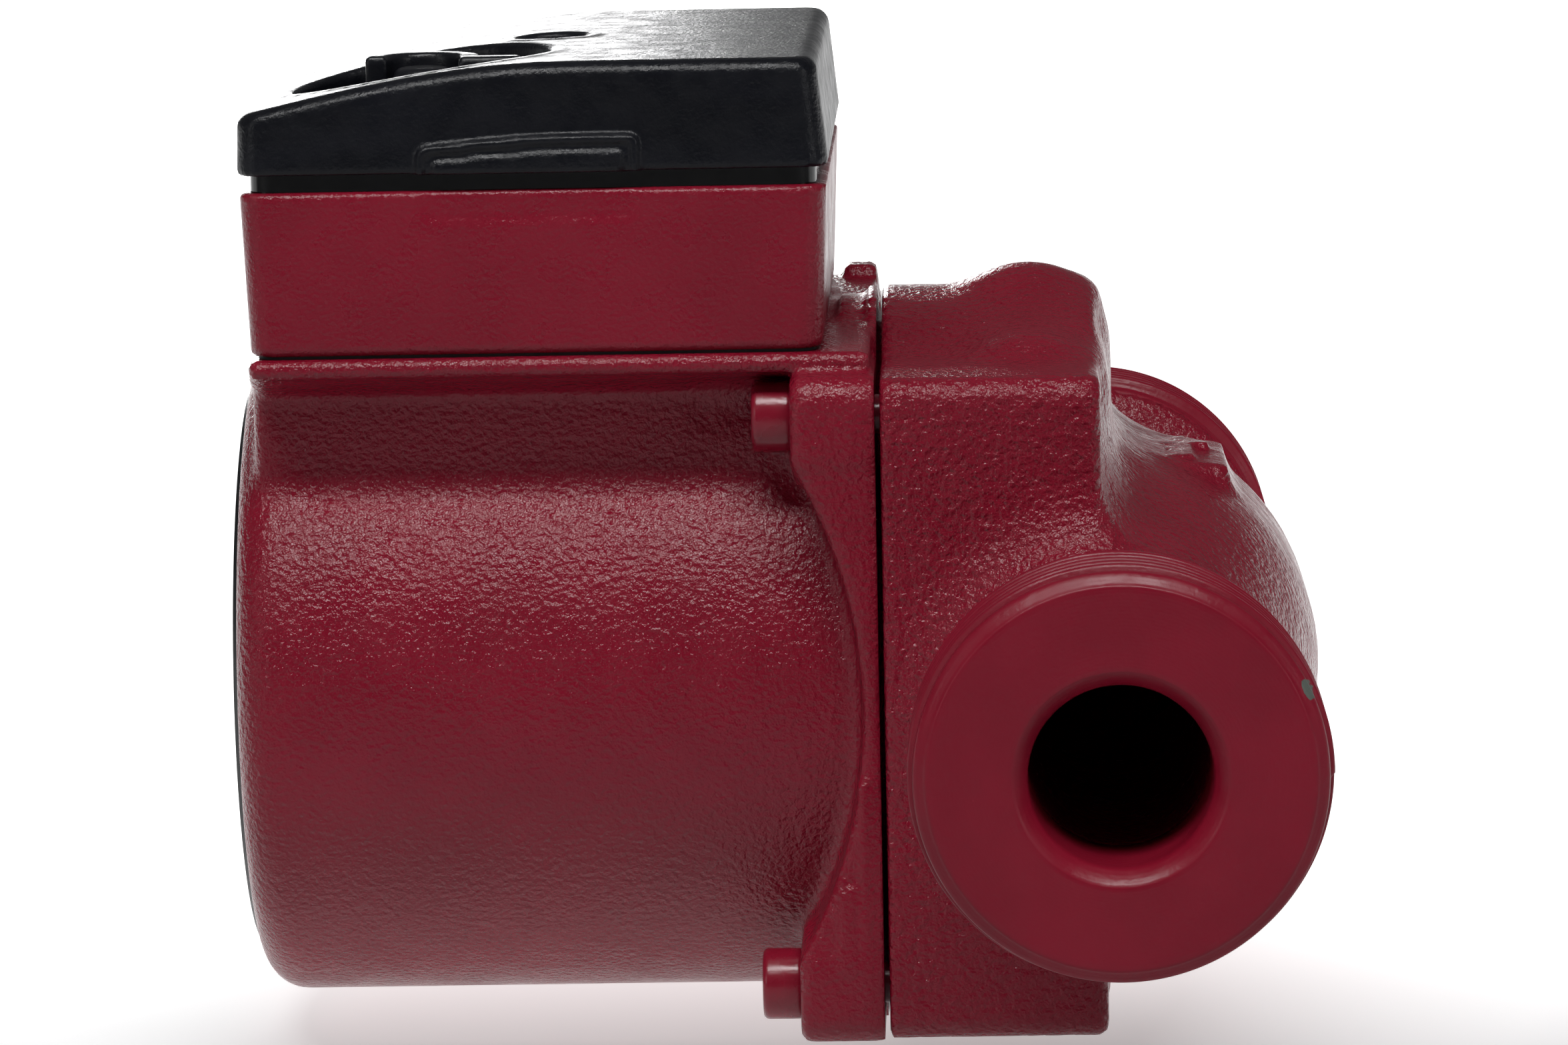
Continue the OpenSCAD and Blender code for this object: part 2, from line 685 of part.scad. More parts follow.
module earth_screw() color("gold") at_pump()
    translate([earth_screw_at[0], earth_screw_at[1], box_floor_z + box_wall]) difference() {
        union() {
            cylinder(r = 4.4, h = 0.8);
            cylinder(r = 3.4, h = 3.4);
        }
        translate([0, 0, 3.4]) cube([8, 1, 2], center = true);
    }

module capacitor() color("#c9ccd0") at_pump()
    translate([capacitor_at[0], capacitor_at[1], box_floor_z + box_wall + capacitor_r]) lathe_x([
        [0, 0], [0, capacitor_r - 1], [1, capacitor_r],
        [capacitor_length - 1, capacitor_r], [capacitor_length, capacitor_r - 1], [capacitor_length, 0]
    ]);

module speed_switch() color("#1c1c1e") at_pump() difference() {
    translate([knob_x, knob_y, carrier_floor_z - switch_size[2] / 2]) cube(switch_size, center = true);
    translate([knob_x, knob_y, carrier_floor_z - 7]) cylinder(r = spindle_r + running, h = 10);
}

// Plan of the bar: an arc that passes behind the hub, an arc back, and a straight end
module bar_plan() {
    bow_r = 7;
    difference() {
        translate([0, 0.5]) circle(bow_r);
        translate([0, 0.5]) circle(bow_r - knob_fin);
        translate([-20, -22]) square([40, 22.5]);
    }
    translate([bow_r - knob_fin, -2.2]) square([knob_fin, 2.8]);
    translate([bow_r - knob_fin, -2.8]) square([knob_bar_end - bow_r + knob_fin, knob_fin]);
}

module speed_knob() color("#17181c") at_pump() translate([knob_x, knob_y, 0]) {
    translate([0, 0, knob_floor_z]) cylinder(r = knob_r, h = knob_disc_thick);
    translate([0, 0, carrier_floor_z - 6])
        cylinder(r = spindle_r, h = knob_floor_z - carrier_floor_z + 6 + eps);
    translate([0, 0, knob_floor_z + knob_disc_thick - eps])
        linear_extrude(knob_top_z - knob_floor_z - knob_disc_thick)
            bar_plan();
    translate([0, 0, knob_floor_z + knob_disc_thick - eps]) cylinder(r = knob_hub_r - 1, h = 5.4);
}

// Side view of the lid, inset by its wall; the top falls away towards the left end in an arc
function lid_top(t) = lid_left_z + 1.4 + (lid_top_z - lid_left_z - 1.4) * sin(90 * t);
module lid_side(inset) rotate([90, 0, 0]) linear_extrude(200, center = true) polygon(concat(
    [[box_left_x - 0.2 + inset, lid_bottom_z - (inset > 0 ? 1 : 0)],
     [box_left_x - 0.2 + inset, lid_left_z - inset]],
    [for (i = [0 : 8]) [box_left_x + 1.2 + inset + lid_fall * i / 8, lid_top(i / 8) - inset]],
    [[box_right_x + 0.3 - inset - 2.8, lid_top_z - inset],
     [box_right_x + 0.3 - inset - 1.3, lid_top_z - 1.5 - inset],
     [box_right_x + 0.3 - inset, lid_bottom_z - (inset > 0 ? 1 : 0)]]
));

module lid_plan(inset) translate([box_mid_x, 0, lid_bottom_z - 1]) linear_extrude(30)
    round_rect([box_length + 0.6 - 2 * inset, 2 * (box_half_y + 0.3 - inset)], lid_corner_r);

// Round wall that hangs from the lid's top; with an inner radius given, it also has a floor
module lid_well(x, y, r, inner) difference() {
    intersection() {
        lid_side(0);
        translate([x, y, well_bottom_z]) cylinder(r = r + well_wall, h = 20);
    }
    translate([x, y, inner > 0 ? lid_screw_head_z - 1 : well_bottom_z - 1]) cylinder(r = r, h = 22);
    translate([x, y, well_bottom_z - 1]) cylinder(r = max(inner, eps), h = 22);
}

module lid() color("#17181c") at_pump() {
    difference() {
        intersection() {
            lid_side(0);
            lid_plan(0);
        }
        intersection() {
            lid_side(lid_wall);
            lid_plan(lid_wall);
        }
        translate([knob_x, knob_y, lid_bottom_z]) cylinder(r = knob_hole_r, h = 20);
        translate([lid_screw_x, 0, lid_bottom_z]) cylinder(r = lid_screw_hole_r, h = 20);
    }
    lid_well(knob_x, knob_y, knob_hole_r, 0);
    lid_well(lid_screw_x, 0, lid_screw_hole_r, lid_screw_r + 0.4);
    for (s = [-1, 1])
        translate([clip_left_x, s * (box_half_y + 0.5) - 0.6, lid_bottom_z + 0.2])
            cube([clip_right_x - clip_left_x, 1.2, 3]);
}

module lid_seal() color("#0c0c0c") at_pump() difference() {
    translate([box_mid_x, 0, lid_bottom_z + side_gap]) linear_extrude(lid_seal_thick)
        round_rect([box_length - 2 * lid_wall, 2 * (box_half_y - lid_wall)], lid_corner_r);
    translate([box_mid_x, 0, lid_bottom_z - 1]) linear_extrude(5)
        round_rect([box_length - 2 * lid_wall - 3, 2 * (box_half_y - lid_wall) - 3], lid_corner_r);
}

module lid_screw() color("silver") at_pump() translate([lid_screw_x, 0, 0]) difference() {
    union() {
        translate([0, 0, lid_screw_head_z - 1]) cylinder(r = lid_screw_head_r, h = 2.6);
        translate([0, 0, box_floor_z + box_wall + 3])
            cylinder(r = lid_screw_r, h = lid_screw_head_z - box_floor_z - box_wall - 4 + eps);
    }
    translate([0, 0, lid_screw_head_z + 1.6]) cube([9, 1, 2.4], center = true);
}

// ---- cable inlet, on the far wall ----

module at_gland() translate([gland_x, 0, gland_z]) children();

module gland_body() color("#2a2b2e") at_pump() at_gland() difference() {
    union() {
        along_y(box_half_y - box_wall) cylinder(r = gland_r, h = box_wall + gland_thread_length);
        along_y(box_half_y) cylinder(r = gland_hex_r, h = gland_hex_thick, $fn = 6);
    }
    along_y(box_half_y - 20) cylinder(r = gland_bore_r + gland_seal_wall, h = 60);
}

module gland_seal() color("#101010") at_pump() at_gland() difference() {
    along_y(box_half_y + gland_hex_thick - 1) cylinder(r = gland_bore_r + gland_seal_wall, h = 8);
    along_y(box_half_y + gland_hex_thick - 2) cylinder(r = gland_bore_r, h = 10);
}

module gland_nut() color("#2a2b2e") at_pump() at_gland() difference() {
    along_y(box_half_y + gland_hex_thick + 0.5)
        cylinder(r = gland_hex_r - 0.5, h = gland_nut_length, $fn = 6);
    along_y(box_half_y + gland_hex_thick) cylinder(r = gland_r, h = gland_nut_length - 2);
    along_y(box_half_y + gland_hex_thick) cylinder(r = gland_bore_r + 1, h = gland_nut_length + 2);
}

pump_housing();
neck_ring();
impeller();
housing_gasket();
shaft();
rotor_core();
rotor_cladding();
thrust_bearing();
thrust_bearing_retainer();
front_bearing();
rear_bearing();
bearing_plate();
rotor_can();
stator_core();
windings();
stator_leads();
stator_housing();
housing_screws();
nameplate();
vent_screw();
vent_seal();
terminal_box();
box_seal();
box_screws();
terminal_carrier();
terminal_block();
terminal_screws();
earth_screw();
capacitor();
speed_switch();
speed_knob();
lid();
lid_seal();
lid_screw();
gland_body();
gland_seal();
gland_nut();
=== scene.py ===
"""Looks of a wet-rotor circulator pump: painted castings, black terminal lid, threaded ports.

Shapes are worked out in millimetres from the point of the pipe's axis that is halfway between the two
ports: +X to the pump's back, +Y along the pipe in the flow direction, +Z up. Each cast or moulded piece is
a distance field on a grid, negative inside the piece, which is then turned into a mesh. So its walls run
into each other with real fillets.
"""
import math

import bpy
import numpy as np
from mathutils import Matrix, Vector


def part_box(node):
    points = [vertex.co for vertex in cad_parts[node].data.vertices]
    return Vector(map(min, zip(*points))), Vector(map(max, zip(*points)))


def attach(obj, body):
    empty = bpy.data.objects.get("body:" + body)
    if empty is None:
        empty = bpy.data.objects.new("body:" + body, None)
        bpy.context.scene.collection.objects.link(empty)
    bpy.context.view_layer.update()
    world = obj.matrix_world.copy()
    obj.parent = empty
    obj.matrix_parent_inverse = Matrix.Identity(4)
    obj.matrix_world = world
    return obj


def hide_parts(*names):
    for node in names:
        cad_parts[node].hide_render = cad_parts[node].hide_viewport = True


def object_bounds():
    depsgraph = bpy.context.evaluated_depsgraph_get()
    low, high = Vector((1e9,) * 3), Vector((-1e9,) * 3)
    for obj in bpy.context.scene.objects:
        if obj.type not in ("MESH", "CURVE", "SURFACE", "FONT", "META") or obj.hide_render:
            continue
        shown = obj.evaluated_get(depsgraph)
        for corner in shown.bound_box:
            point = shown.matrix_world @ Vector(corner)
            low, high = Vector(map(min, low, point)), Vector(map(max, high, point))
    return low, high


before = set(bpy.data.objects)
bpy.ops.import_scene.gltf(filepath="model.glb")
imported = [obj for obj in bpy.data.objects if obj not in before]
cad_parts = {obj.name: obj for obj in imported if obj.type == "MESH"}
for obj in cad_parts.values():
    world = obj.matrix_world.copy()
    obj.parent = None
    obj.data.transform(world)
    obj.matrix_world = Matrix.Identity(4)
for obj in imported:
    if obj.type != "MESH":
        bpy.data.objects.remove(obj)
CAD_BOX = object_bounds()

MM = 0.001
PORT_LOW, PORT_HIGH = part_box("pump_housing")
MIDDLE_Y = (PORT_LOW.y + PORT_HIGH.y) / 2
HALF_SPAN = (PORT_HIGH.y - PORT_LOW.y) / 2 / MM

# The four corners of a flange, as the signs of Y and Z
CORNERS = [(-1, -1), (-1, 1), (1, -1), (1, 1)]


# ---------------------------------------------------------------- distance fields

class Grid:
    """Points in millimetres at which a shape's distance is worked out."""

    def __init__(self, low, high, cell):
        counts = [int(math.ceil((b - a) / cell)) + 1 for a, b in zip(low, high)]
        self.low = np.array(low, float)
        self.cell = cell
        self.shape = tuple(counts)
        axes = [(a + cell * np.arange(n)).astype(np.float32) for a, n in zip(low, counts)]
        self.x, self.y, self.z = np.meshgrid(*axes, indexing="ij", sparse=True)


def length(*parts):
    return np.sqrt(sum(p * p for p in parts))


def outline(a, b, r=0.0):
    """Both distances at once, with the edge between them rounded by r."""
    return length(np.maximum(a + r, 0), np.maximum(b + r, 0)) + np.minimum(np.maximum(a, b) + r, 0) - r


def block(g, low, high, r=0.0):
    """A block between two corners with all its edges rounded by r."""
    gaps = [np.abs(c - (a + b) / 2) - (b - a) / 2 + r for c, a, b in zip((g.x, g.y, g.z), low, high)]
    outside = length(*[np.maximum(d, 0) for d in gaps])
    return outside + np.minimum(np.maximum(np.maximum(gaps[0], gaps[1]), gaps[2]), 0) - r


def slab(c, low, high):
    """A slab between two planes across one coordinate."""
    return np.abs(c - (low + high) / 2) - (high - low) / 2


def rod_x(g, x0, x1, radius, y=0.0, z=0.0, r=0.0):
    return outline(length(g.y - y, g.z - z) - radius, slab(g.x, x0, x1), r)


def rod_y(g, y0, y1, radius, x=0.0, z=0.0):
    return outline(length(g.x - x, g.z - z) - radius, slab(g.y, y0, y1))


def rod_z(g, z0, z1, radius, x=0.0, y=0.0, r=0.0):
    return outline(length(g.x - x, g.y - y) - radius, slab(g.z, z0, z1), r)


def ball(g, centre, radius):
    return length(g.x - centre[0], g.y - centre[1], g.z - centre[2]) - radius


def hexagon(a, b, half_flat):
    """A hexagon's distance from its two plan coordinates, with a flat facing b."""
    a, b = np.abs(a), np.abs(b)
    return np.maximum(b, a * math.cos(math.pi / 6) + b * 0.5) - half_flat


def join(a, b, fillet=0.0):
    """Union, with a fillet of about that size where the two meet."""
    if not fillet:
        return np.minimum(a, b)
    h = np.maximum(fillet - np.abs(a - b), 0) / fillet
    return np.minimum(a, b) - h * h * fillet / 4


def cut(a, b, fillet=0.0):
    """a without b."""
    return -join(-a, b, fillet)


def smoothstep(low, high, value):
    t = np.clip((value - low) / (high - low), 0, 1)
    return t * t * (3 - 2 * t)


def grain(g, wavelength, seed):
    """Random bumps about one wavelength across, with a spread of 1, repeated in tiles of the grid."""
    tile, bandwidth = 96, 0.4
    white = np.random.default_rng(seed).standard_normal((tile, tile, tile))
    k = np.fft.fftfreq(tile, g.cell)
    frequency = length(k[:, None, None], k[None, :, None], np.abs(k[: tile // 2 + 1])[None, None, :])
    band = np.exp(-(np.log(np.maximum(frequency, 1e-6) * wavelength) / bandwidth) ** 2)
    bumps = np.fft.irfftn(np.fft.rfftn(white) * band, s=white.shape)
    bumps = (bumps / bumps.std()).astype(np.float32)
    return bumps[np.ix_(*[np.arange(n) % tile for n in g.shape])]


def surface(g, value):
    """Vertices in millimetres and quads of the surface where a field is zero.

    Each grid cell that the surface crosses gets one vertex, at the mean of its edges' crossings, and each
    grid edge that the surface crosses gets a quad between the four cells around it.
    """
    value = np.broadcast_to(value, g.shape)
    inside = value < 0
    cells = tuple(n - 1 for n in g.shape)
    count = np.zeros(cells, np.uint8)
    for corner in np.ndindex(2, 2, 2):
        count += inside[tuple(slice(c, c + n) for c, n in zip(corner, cells))]
    active = (count > 0) & (count < 8)
    number = np.full(cells, -1, np.int32)
    number[active] = np.arange(active.sum())
    at = np.argwhere(active)
    step = np.eye(3, dtype=int)
    total = np.zeros((len(at), 3))
    hits = np.zeros(len(at))
    for axis in range(3):
        others = [k for k in range(3) if k != axis]
        for pair in np.ndindex(2, 2):
            start = np.zeros(3, int)
            start[others] = pair
            a = value[tuple((at + start).T)]
            b = value[tuple((at + start + step[axis]).T)]
            crossed = (a < 0) != (b < 0)
            t = a[crossed] / (a[crossed] - b[crossed])
            total[crossed] += start + t[:, None] * step[axis]
            hits[crossed] += 1
    vertices = g.low + g.cell * (at + total / hits[:, None])
    quads = []
    for axis in range(3):
        a, b = [k for k in range(3) if k != axis]
        near = inside[tuple(slice(0, -1) if k == axis else slice(None) for k in range(3))]
        far = inside[tuple(slice(1, None) if k == axis else slice(None) for k in range(3))]
        edge = np.argwhere(near != far)
        within = (edge[:, a] > 0) & (edge[:, b] > 0) & (edge[:, a] < cells[a]) & (edge[:, b] < cells[b])
        edge = edge[within]
        ring = [edge, edge - step[a], edge - step[a] - step[b], edge - step[b]]
        quad = np.stack([number[tuple(e.T)] for e in ring], axis=1)
        flip = near[tuple(edge.T)] == (axis == 1)
        quad[flip] = quad[flip, ::-1]
        quads.append(quad)
    return vertices, np.concatenate(quads)


# ---------------------------------------------------------------- pieces

def add_mesh(name, vertices, faces, material, body, slot, replaces):
    """A smooth piece from millimetre vertices and quads. It rides a body and stands in for CAD nodes."""
    mesh = bpy.data.meshes.new(name)
    mesh.vertices.add(len(vertices))
    place = np.asarray(vertices, float) * MM + (0, MIDDLE_Y, 0)
    mesh.vertices.foreach_set("co", place.astype(np.float32).ravel())
    faces = np.asarray(faces, np.int32)
    mesh.loops.add(faces.size)
    mesh.loops.foreach_set("vertex_index", faces.ravel())
    mesh.polygons.add(len(faces))
    mesh.polygons.foreach_set("loop_start", np.arange(0, faces.size, 4, dtype=np.int32))
    mesh.update(calc_edges=True)
    mesh.validate()
    mesh.polygons.foreach_set("use_smooth", np.ones(len(mesh.polygons), bool))
    mesh.materials.append(material)
    piece = bpy.data.objects.new(name, mesh)
    bpy.context.scene.collection.objects.link(piece)
    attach(piece, body)
    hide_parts(*replaces)


def add_field(name, g, value, material, body, slot, replaces):
    add_mesh(name, *surface(g, value), material, body, slot, replaces)


# ---------------------------------------------------------------- materials

class Nodes:
    """Short calls for building one material's nodes."""

    def __init__(self, name):
        self.material = bpy.data.materials.new(name)
        self.material.use_nodes = True
        self.tree = self.material.node_tree
        self.shader = self.tree.nodes["Principled BSDF"]
        self.where = self.add("ShaderNodeTexCoord").outputs["Object"]

    def add(self, kind, **settings):
        node = self.tree.nodes.new(kind)
        for key, value in settings.items():
            setattr(node, key, value)
        return node

    def link(self, source, socket):
        self.tree.links.new(source, socket)

    def fill(self, node, name, value):
        """Sets a socket to a number or colour, or links it."""
        if isinstance(value, bpy.types.NodeSocket):
            self.link(value, node.inputs[name])
        else:
            node.inputs[name].default_value = value

    def noise(self, size_mm, detail=2.0, rough=0.5, stretch=None):
        """Smooth noise from 0 to 1 with spots of about that size."""
        node = self.add("ShaderNodeTexNoise")
        node.inputs["Scale"].default_value = 1 / (size_mm * MM)
        node.inputs["Detail"].default_value = detail
        node.inputs["Roughness"].default_value = rough
        where = self.where
        if stretch:
            scale = self.add("ShaderNodeMapping")
            scale.inputs["Scale"].default_value = stretch
            self.link(where, scale.inputs["Vector"])
            where = scale.outputs["Vector"]
        self.link(where, node.inputs["Vector"])
        return node.outputs["Fac"]

    def cells(self, size_mm):
        """Rounded lumps of about that size."""
        node = self.add("ShaderNodeTexVoronoi", feature="SMOOTH_F1")
        node.inputs["Scale"].default_value = 1 / (size_mm * MM)
        node.inputs["Smoothness"].default_value = 0.6
        self.link(self.where, node.inputs["Vector"])
        return node.outputs["Distance"]

    def maths(self, operation, a, b=0.0):
        node = self.add("ShaderNodeMath", operation=operation)
        self.fill(node, 0, a)
        self.fill(node, 1, b)
        return node.outputs[0]

    def ramp(self, value, low, high, to_low=0.0, to_high=1.0):
        """Goes smoothly from to_low to to_high while value goes from low to high."""
        node = self.add("ShaderNodeMapRange", interpolation_type="SMOOTHSTEP")
        for name, setting in (("Value", value), ("From Min", low), ("From Max", high),
                              ("To Min", to_low), ("To Max", to_high)):
            self.fill(node, name, setting)
        return node.outputs["Result"]

    def mix(self, share, a, b):
        """Colour a turning into colour b as share goes from 0 to 1. The node's sockets go by number."""
        factor, first_colour, second_colour, mixed_colour = 0, 6, 7, 2
        node = self.add("ShaderNodeMix", data_type="RGBA")
        self.fill(node, factor, share)
        self.fill(node, first_colour, a)
        self.fill(node, second_colour, b)
        return node.outputs[mixed_colour]

    def bump(self, height, depth_mm, below=None):
        node = self.add("ShaderNodeBump")
        node.inputs["Strength"].default_value = 1.0
        node.inputs["Distance"].default_value = depth_mm * MM
        self.link(height, node.inputs["Height"])
        if below is not None:
            self.link(below, node.inputs["Normal"])
        return node.outputs["Normal"]

    def edges(self):
        """0 in hollows, about 0.5 on flats and 1 along outer edges."""
        return self.add("ShaderNodeNewGeometry").outputs["Pointiness"]

    def finish(self, **sockets):
        """Sets the shader's own sockets, with _ for a space in their names."""
        for name, value in sockets.items():
            self.fill(self.shader, name.replace("_", " "), value)
        return self.material


def colour(r, g, b):
    """An sRGB colour from 0 to 255 as linear RGBA."""
    linear = [(c / 255 / 12.92) if c <= 10 else ((c / 255 + 0.055) / 1.055) ** 2.4 for c in (r, g, b)]
    return (*linear, 1.0)


CRIMSON = colour(128, 17, 39)
CRIMSON_DEEP = colour(121, 15, 36)
CRIMSON_WORN = colour(150, 42, 60)
BARE_IRON = colour(92, 98, 92)


def painted(name, pebble_mm, pebble_depth, rough, peel_depth=0.02, coat=0.0):
    """Crimson paint over a cast skin: pebbles, painted shade between them, fine orange peel, paler worn
    edges.
    """
    n = Nodes(name)
    pebbles = n.noise(pebble_mm, 2.5, 0.55)
    lumps = n.cells(pebble_mm * 1.6)
    peel = n.noise(pebble_mm * 0.42, 1.0)
    height = n.maths("ADD", pebbles, n.maths("MULTIPLY", lumps, 0.55))
    skin = n.bump(height, pebble_depth)
    skin = n.bump(peel, peel_depth, below=skin)
    patchy = n.ramp(n.noise(16.0, 3.0), 0.35, 0.68)
    tone = n.mix(patchy, CRIMSON_DEEP, CRIMSON)
    # Painted shade: the paint is made a little darker in the hollows between the pebbles.
    tone = n.mix(n.ramp(pebbles, 0.62, 0.30, 0.0, 0.20), tone, CRIMSON_DEEP)
    sharp = n.ramp(n.edges(), 0.53, 0.62)
    rubbed = n.ramp(n.noise(2.2, 3.0), 0.35, 0.75, 0.1, 0.8)
    worn = n.maths("MULTIPLY", sharp, rubbed)
    tone = n.mix(worn, tone, CRIMSON_WORN)
    gloss = n.ramp(n.noise(5.0, 4.0), 0.3, 0.7, rough - 0.05, rough + 0.08)
    return n.finish(Base_Color=tone, Roughness=gloss, Normal=skin, Coat_Weight=coat, Coat_Roughness=0.22,
                    Specular_IOR_Level=0.38)


def plastic(name, base, tint, grain_mm, depth, rough, coat=0.0, shine=0.5):
    """Moulded material with a fine grain, faint streaks and rubbed edges a little paler than the rest."""
    n = Nodes(name)
    worn = tuple(min(c * 1.4 + 0.008, 1.0) for c in base[:3]) + (1.0,)
    sand = n.noise(grain_mm, 2.0, 0.6)
    skin = n.bump(sand, depth)
    streaks = n.noise(7.0, 3.0, stretch=(0.35, 1.0, 1.0))
    tone = n.mix(n.ramp(streaks, 0.3, 0.7), base, tint)
    rubbed = n.ramp(n.edges(), 0.54, 0.66, 0.0, 0.30)
    tone = n.mix(rubbed, tone, worn)
    gloss = n.ramp(n.noise(3.0, 4.0), 0.3, 0.7, rough - 0.05, rough + 0.07)
    return n.finish(Base_Color=tone, Roughness=gloss, Normal=skin, Coat_Weight=coat, Coat_Roughness=0.1,
                    Specular_IOR_Level=shine)


def metal(name, base, dark, rough):
    """Metal with fine tool marks, tarnish in patches and brighter edges."""
    n = Nodes(name)
    marks = n.noise(0.25, 2.0, stretch=(0.06, 1, 1))
    skin = n.bump(marks, 0.01)
    tone = n.mix(n.ramp(n.noise(4.0, 4.0), 0.35, 0.75), base, dark)
    tone = n.mix(n.ramp(n.edges(), 0.52, 0.62, 0.0, 0.5), tone, base)
    gloss = n.ramp(n.noise(1.8, 3.0), 0.3, 0.7, rough - 0.06, rough + 0.1)
    return n.finish(Base_Color=tone, Roughness=gloss, Normal=skin, Metallic=1.0)


def port_paint(name, chipped_rim):
    """The castings' paint on a turned port: ring marks on the face, and a chip of bare iron on one rim."""
    n = Nodes(name)
    place = n.add("ShaderNodeSeparateXYZ")
    n.link(n.where, place.inputs[0])
    x, z = place.outputs["X"], place.outputs["Z"]
    radius = n.maths("SQRT", n.maths("ADD", n.maths("MULTIPLY", x, x), n.maths("MULTIPLY", z, z)))
    mark_pitch = 0.42 * MM
    rings = n.maths("SINE", n.maths("MULTIPLY", radius, 2 * math.pi / mark_pitch))
    rings = n.maths("MULTIPLY", rings, n.noise(2.0, 3.0))
    skin = n.bump(n.noise(0.9, 2.5, 0.55), 0.05)
    skin = n.bump(rings, 0.004, below=skin)
    patchy = n.ramp(n.noise(12.0, 4.0), 0.35, 0.68)
    tone = n.mix(patchy, CRIMSON_DEEP, CRIMSON)
    specks = n.ramp(n.noise(0.8, 2.0), 0.74, 0.82, 0.0, 0.5)
    tone = n.mix(specks, tone, CRIMSON_WORN)
    if chipped_rim:
        chip_angle, narrowness = 0.43, 5.2
        chip_from, chip_to = 21.9 * MM, 22.9 * MM
        fade_from, fade_to = PORT_LOW.y + 2.0 * MM, PORT_LOW.y + 4.0 * MM
        angle = n.maths("ABSOLUTE", n.maths("SUBTRACT", n.maths("ARCTAN2", z, x), chip_angle))
        near = n.maths("MAXIMUM", n.maths("SUBTRACT", 1.0, n.maths("MULTIPLY", angle, narrowness)), 0.0)
        rim = n.ramp(radius, chip_from, chip_to)
        ragged = n.maths("MULTIPLY", n.maths("SUBTRACT", n.noise(2.4, 4.0), 0.5), 1.1)
        front = n.ramp(place.outputs["Y"], fade_from, fade_to, 1.0, 0.0)
        chip = n.maths("ADD", n.maths("MULTIPLY", n.maths("MULTIPLY", near, rim), front), ragged)
        tone = n.mix(n.ramp(chip, 0.70, 0.76), tone, BARE_IRON)
    gloss = n.ramp(n.noise(5.0, 4.0), 0.3, 0.7, 0.28, 0.42)
    return n.finish(Base_Color=tone, Roughness=gloss, Normal=skin, Specular_IOR_Level=0.28)


def winding_wire():
    """Enamelled copper turns, wound round the rotor axis."""
    n = Nodes("winding_wire")
    wave = n.add("ShaderNodeTexWave", bands_direction="X")
    wave.inputs["Scale"].default_value = 1 / (2.2 * MM)
    wave.inputs["Distortion"].default_value = 1.5
    n.link(n.where, wave.inputs["Vector"])
    skin = n.bump(wave.outputs["Fac"], 0.25)
    tone = n.mix(n.noise(1.5, 3.0), colour(150, 74, 30), colour(196, 112, 52))
    return n.finish(Base_Color=tone, Roughness=0.35, Metallic=0.8, Normal=skin)


def laminations():
    """Edges of stacked electrical sheets."""
    n = Nodes("laminations")
    wave = n.add("ShaderNodeTexWave", bands_direction="X")
    wave.inputs["Scale"].default_value = 1 / (3.2 * MM)
    n.link(n.where, wave.inputs["Vector"])
    skin = n.bump(wave.outputs["Fac"], 0.05)
    tone = n.mix(n.noise(3.0, 4.0), colour(84, 88, 94), colour(118, 120, 124))
    return n.finish(Base_Color=tone, Roughness=0.42, Metallic=0.9, Normal=skin)


def pump_materials():
    """Every look, by name. A plastic's numbers are its grain's size and depth, and its roughness."""
    return {
        "painted_cast_iron": painted("painted_cast_iron", pebble_mm=0.66, pebble_depth=0.40, rough=0.20),
        "painted_aluminium": painted("painted_aluminium", pebble_mm=0.55, pebble_depth=0.25, rough=0.19),
        "box_paint": painted("box_paint", pebble_mm=0.42, pebble_depth=0.11, rough=0.28),
        "screw_paint": painted("screw_paint", pebble_mm=1.4, pebble_depth=0.05, rough=0.24, peel_depth=0.01,
                               coat=0.2),
        "inlet_paint": port_paint("inlet_paint", chipped_rim=True),
        "outlet_paint": port_paint("outlet_paint", chipped_rim=False),
        "lid_plastic": plastic("lid_plastic", colour(13, 14, 19), colour(18, 19, 25), 0.60, 0.09, 0.33,
                               shine=0.26),
        "knob_plastic": plastic("knob_plastic", colour(13, 14, 19), colour(19, 20, 26), 0.5, 0.05, 0.34,
                                shine=0.35),
        "gloss_black": plastic("gloss_black", colour(6, 6, 8), colour(9, 9, 11), 1.2, 0.006, 0.12,
                               coat=0.1, shine=0.3),
        "black_plate": plastic("black_plate", colour(16, 16, 18), colour(22, 22, 25), 0.8, 0.01, 0.28),
        "rubber_black": plastic("rubber_black", colour(18, 18, 18), colour(26, 26, 26), 0.6, 0.03, 0.70),
        "composite": plastic("composite", colour(206, 198, 176), colour(190, 180, 158), 0.7, 0.02, 0.45),
        "terminal_plastic": plastic("terminal_plastic", colour(196, 196, 186), colour(178, 178, 168),
                                    0.6, 0.02, 0.5),
        "switch_plastic": plastic("switch_plastic", colour(30, 30, 33), colour(40, 40, 44), 0.5, 0.02, 0.5),
        "lead_insulation": plastic("lead_insulation", colour(30, 48, 120), colour(40, 60, 140),
                                   1.0, 0.01, 0.4),
        "ceramic": plastic("ceramic", colour(228, 224, 214), colour(216, 210, 198), 0.6, 0.01, 0.25),
        "carbon": plastic("carbon", colour(38, 38, 42), colour(52, 52, 56), 0.4, 0.01, 0.35),
        "stainless": metal("stainless", colour(186, 188, 190), colour(150, 152, 156), 0.28),
        "zinc_steel": metal("zinc_steel", colour(190, 192, 186), colour(146, 148, 140), 0.34),
        "brass": metal("brass", colour(206, 168, 92), colour(160, 124, 60), 0.3),
        "capacitor_can": metal("capacitor_can", colour(200, 203, 207), colour(170, 173, 178), 0.32),
        "laminations": laminations(),
        "winding_wire": winding_wire(),
    }


LOOK = pump_materials()

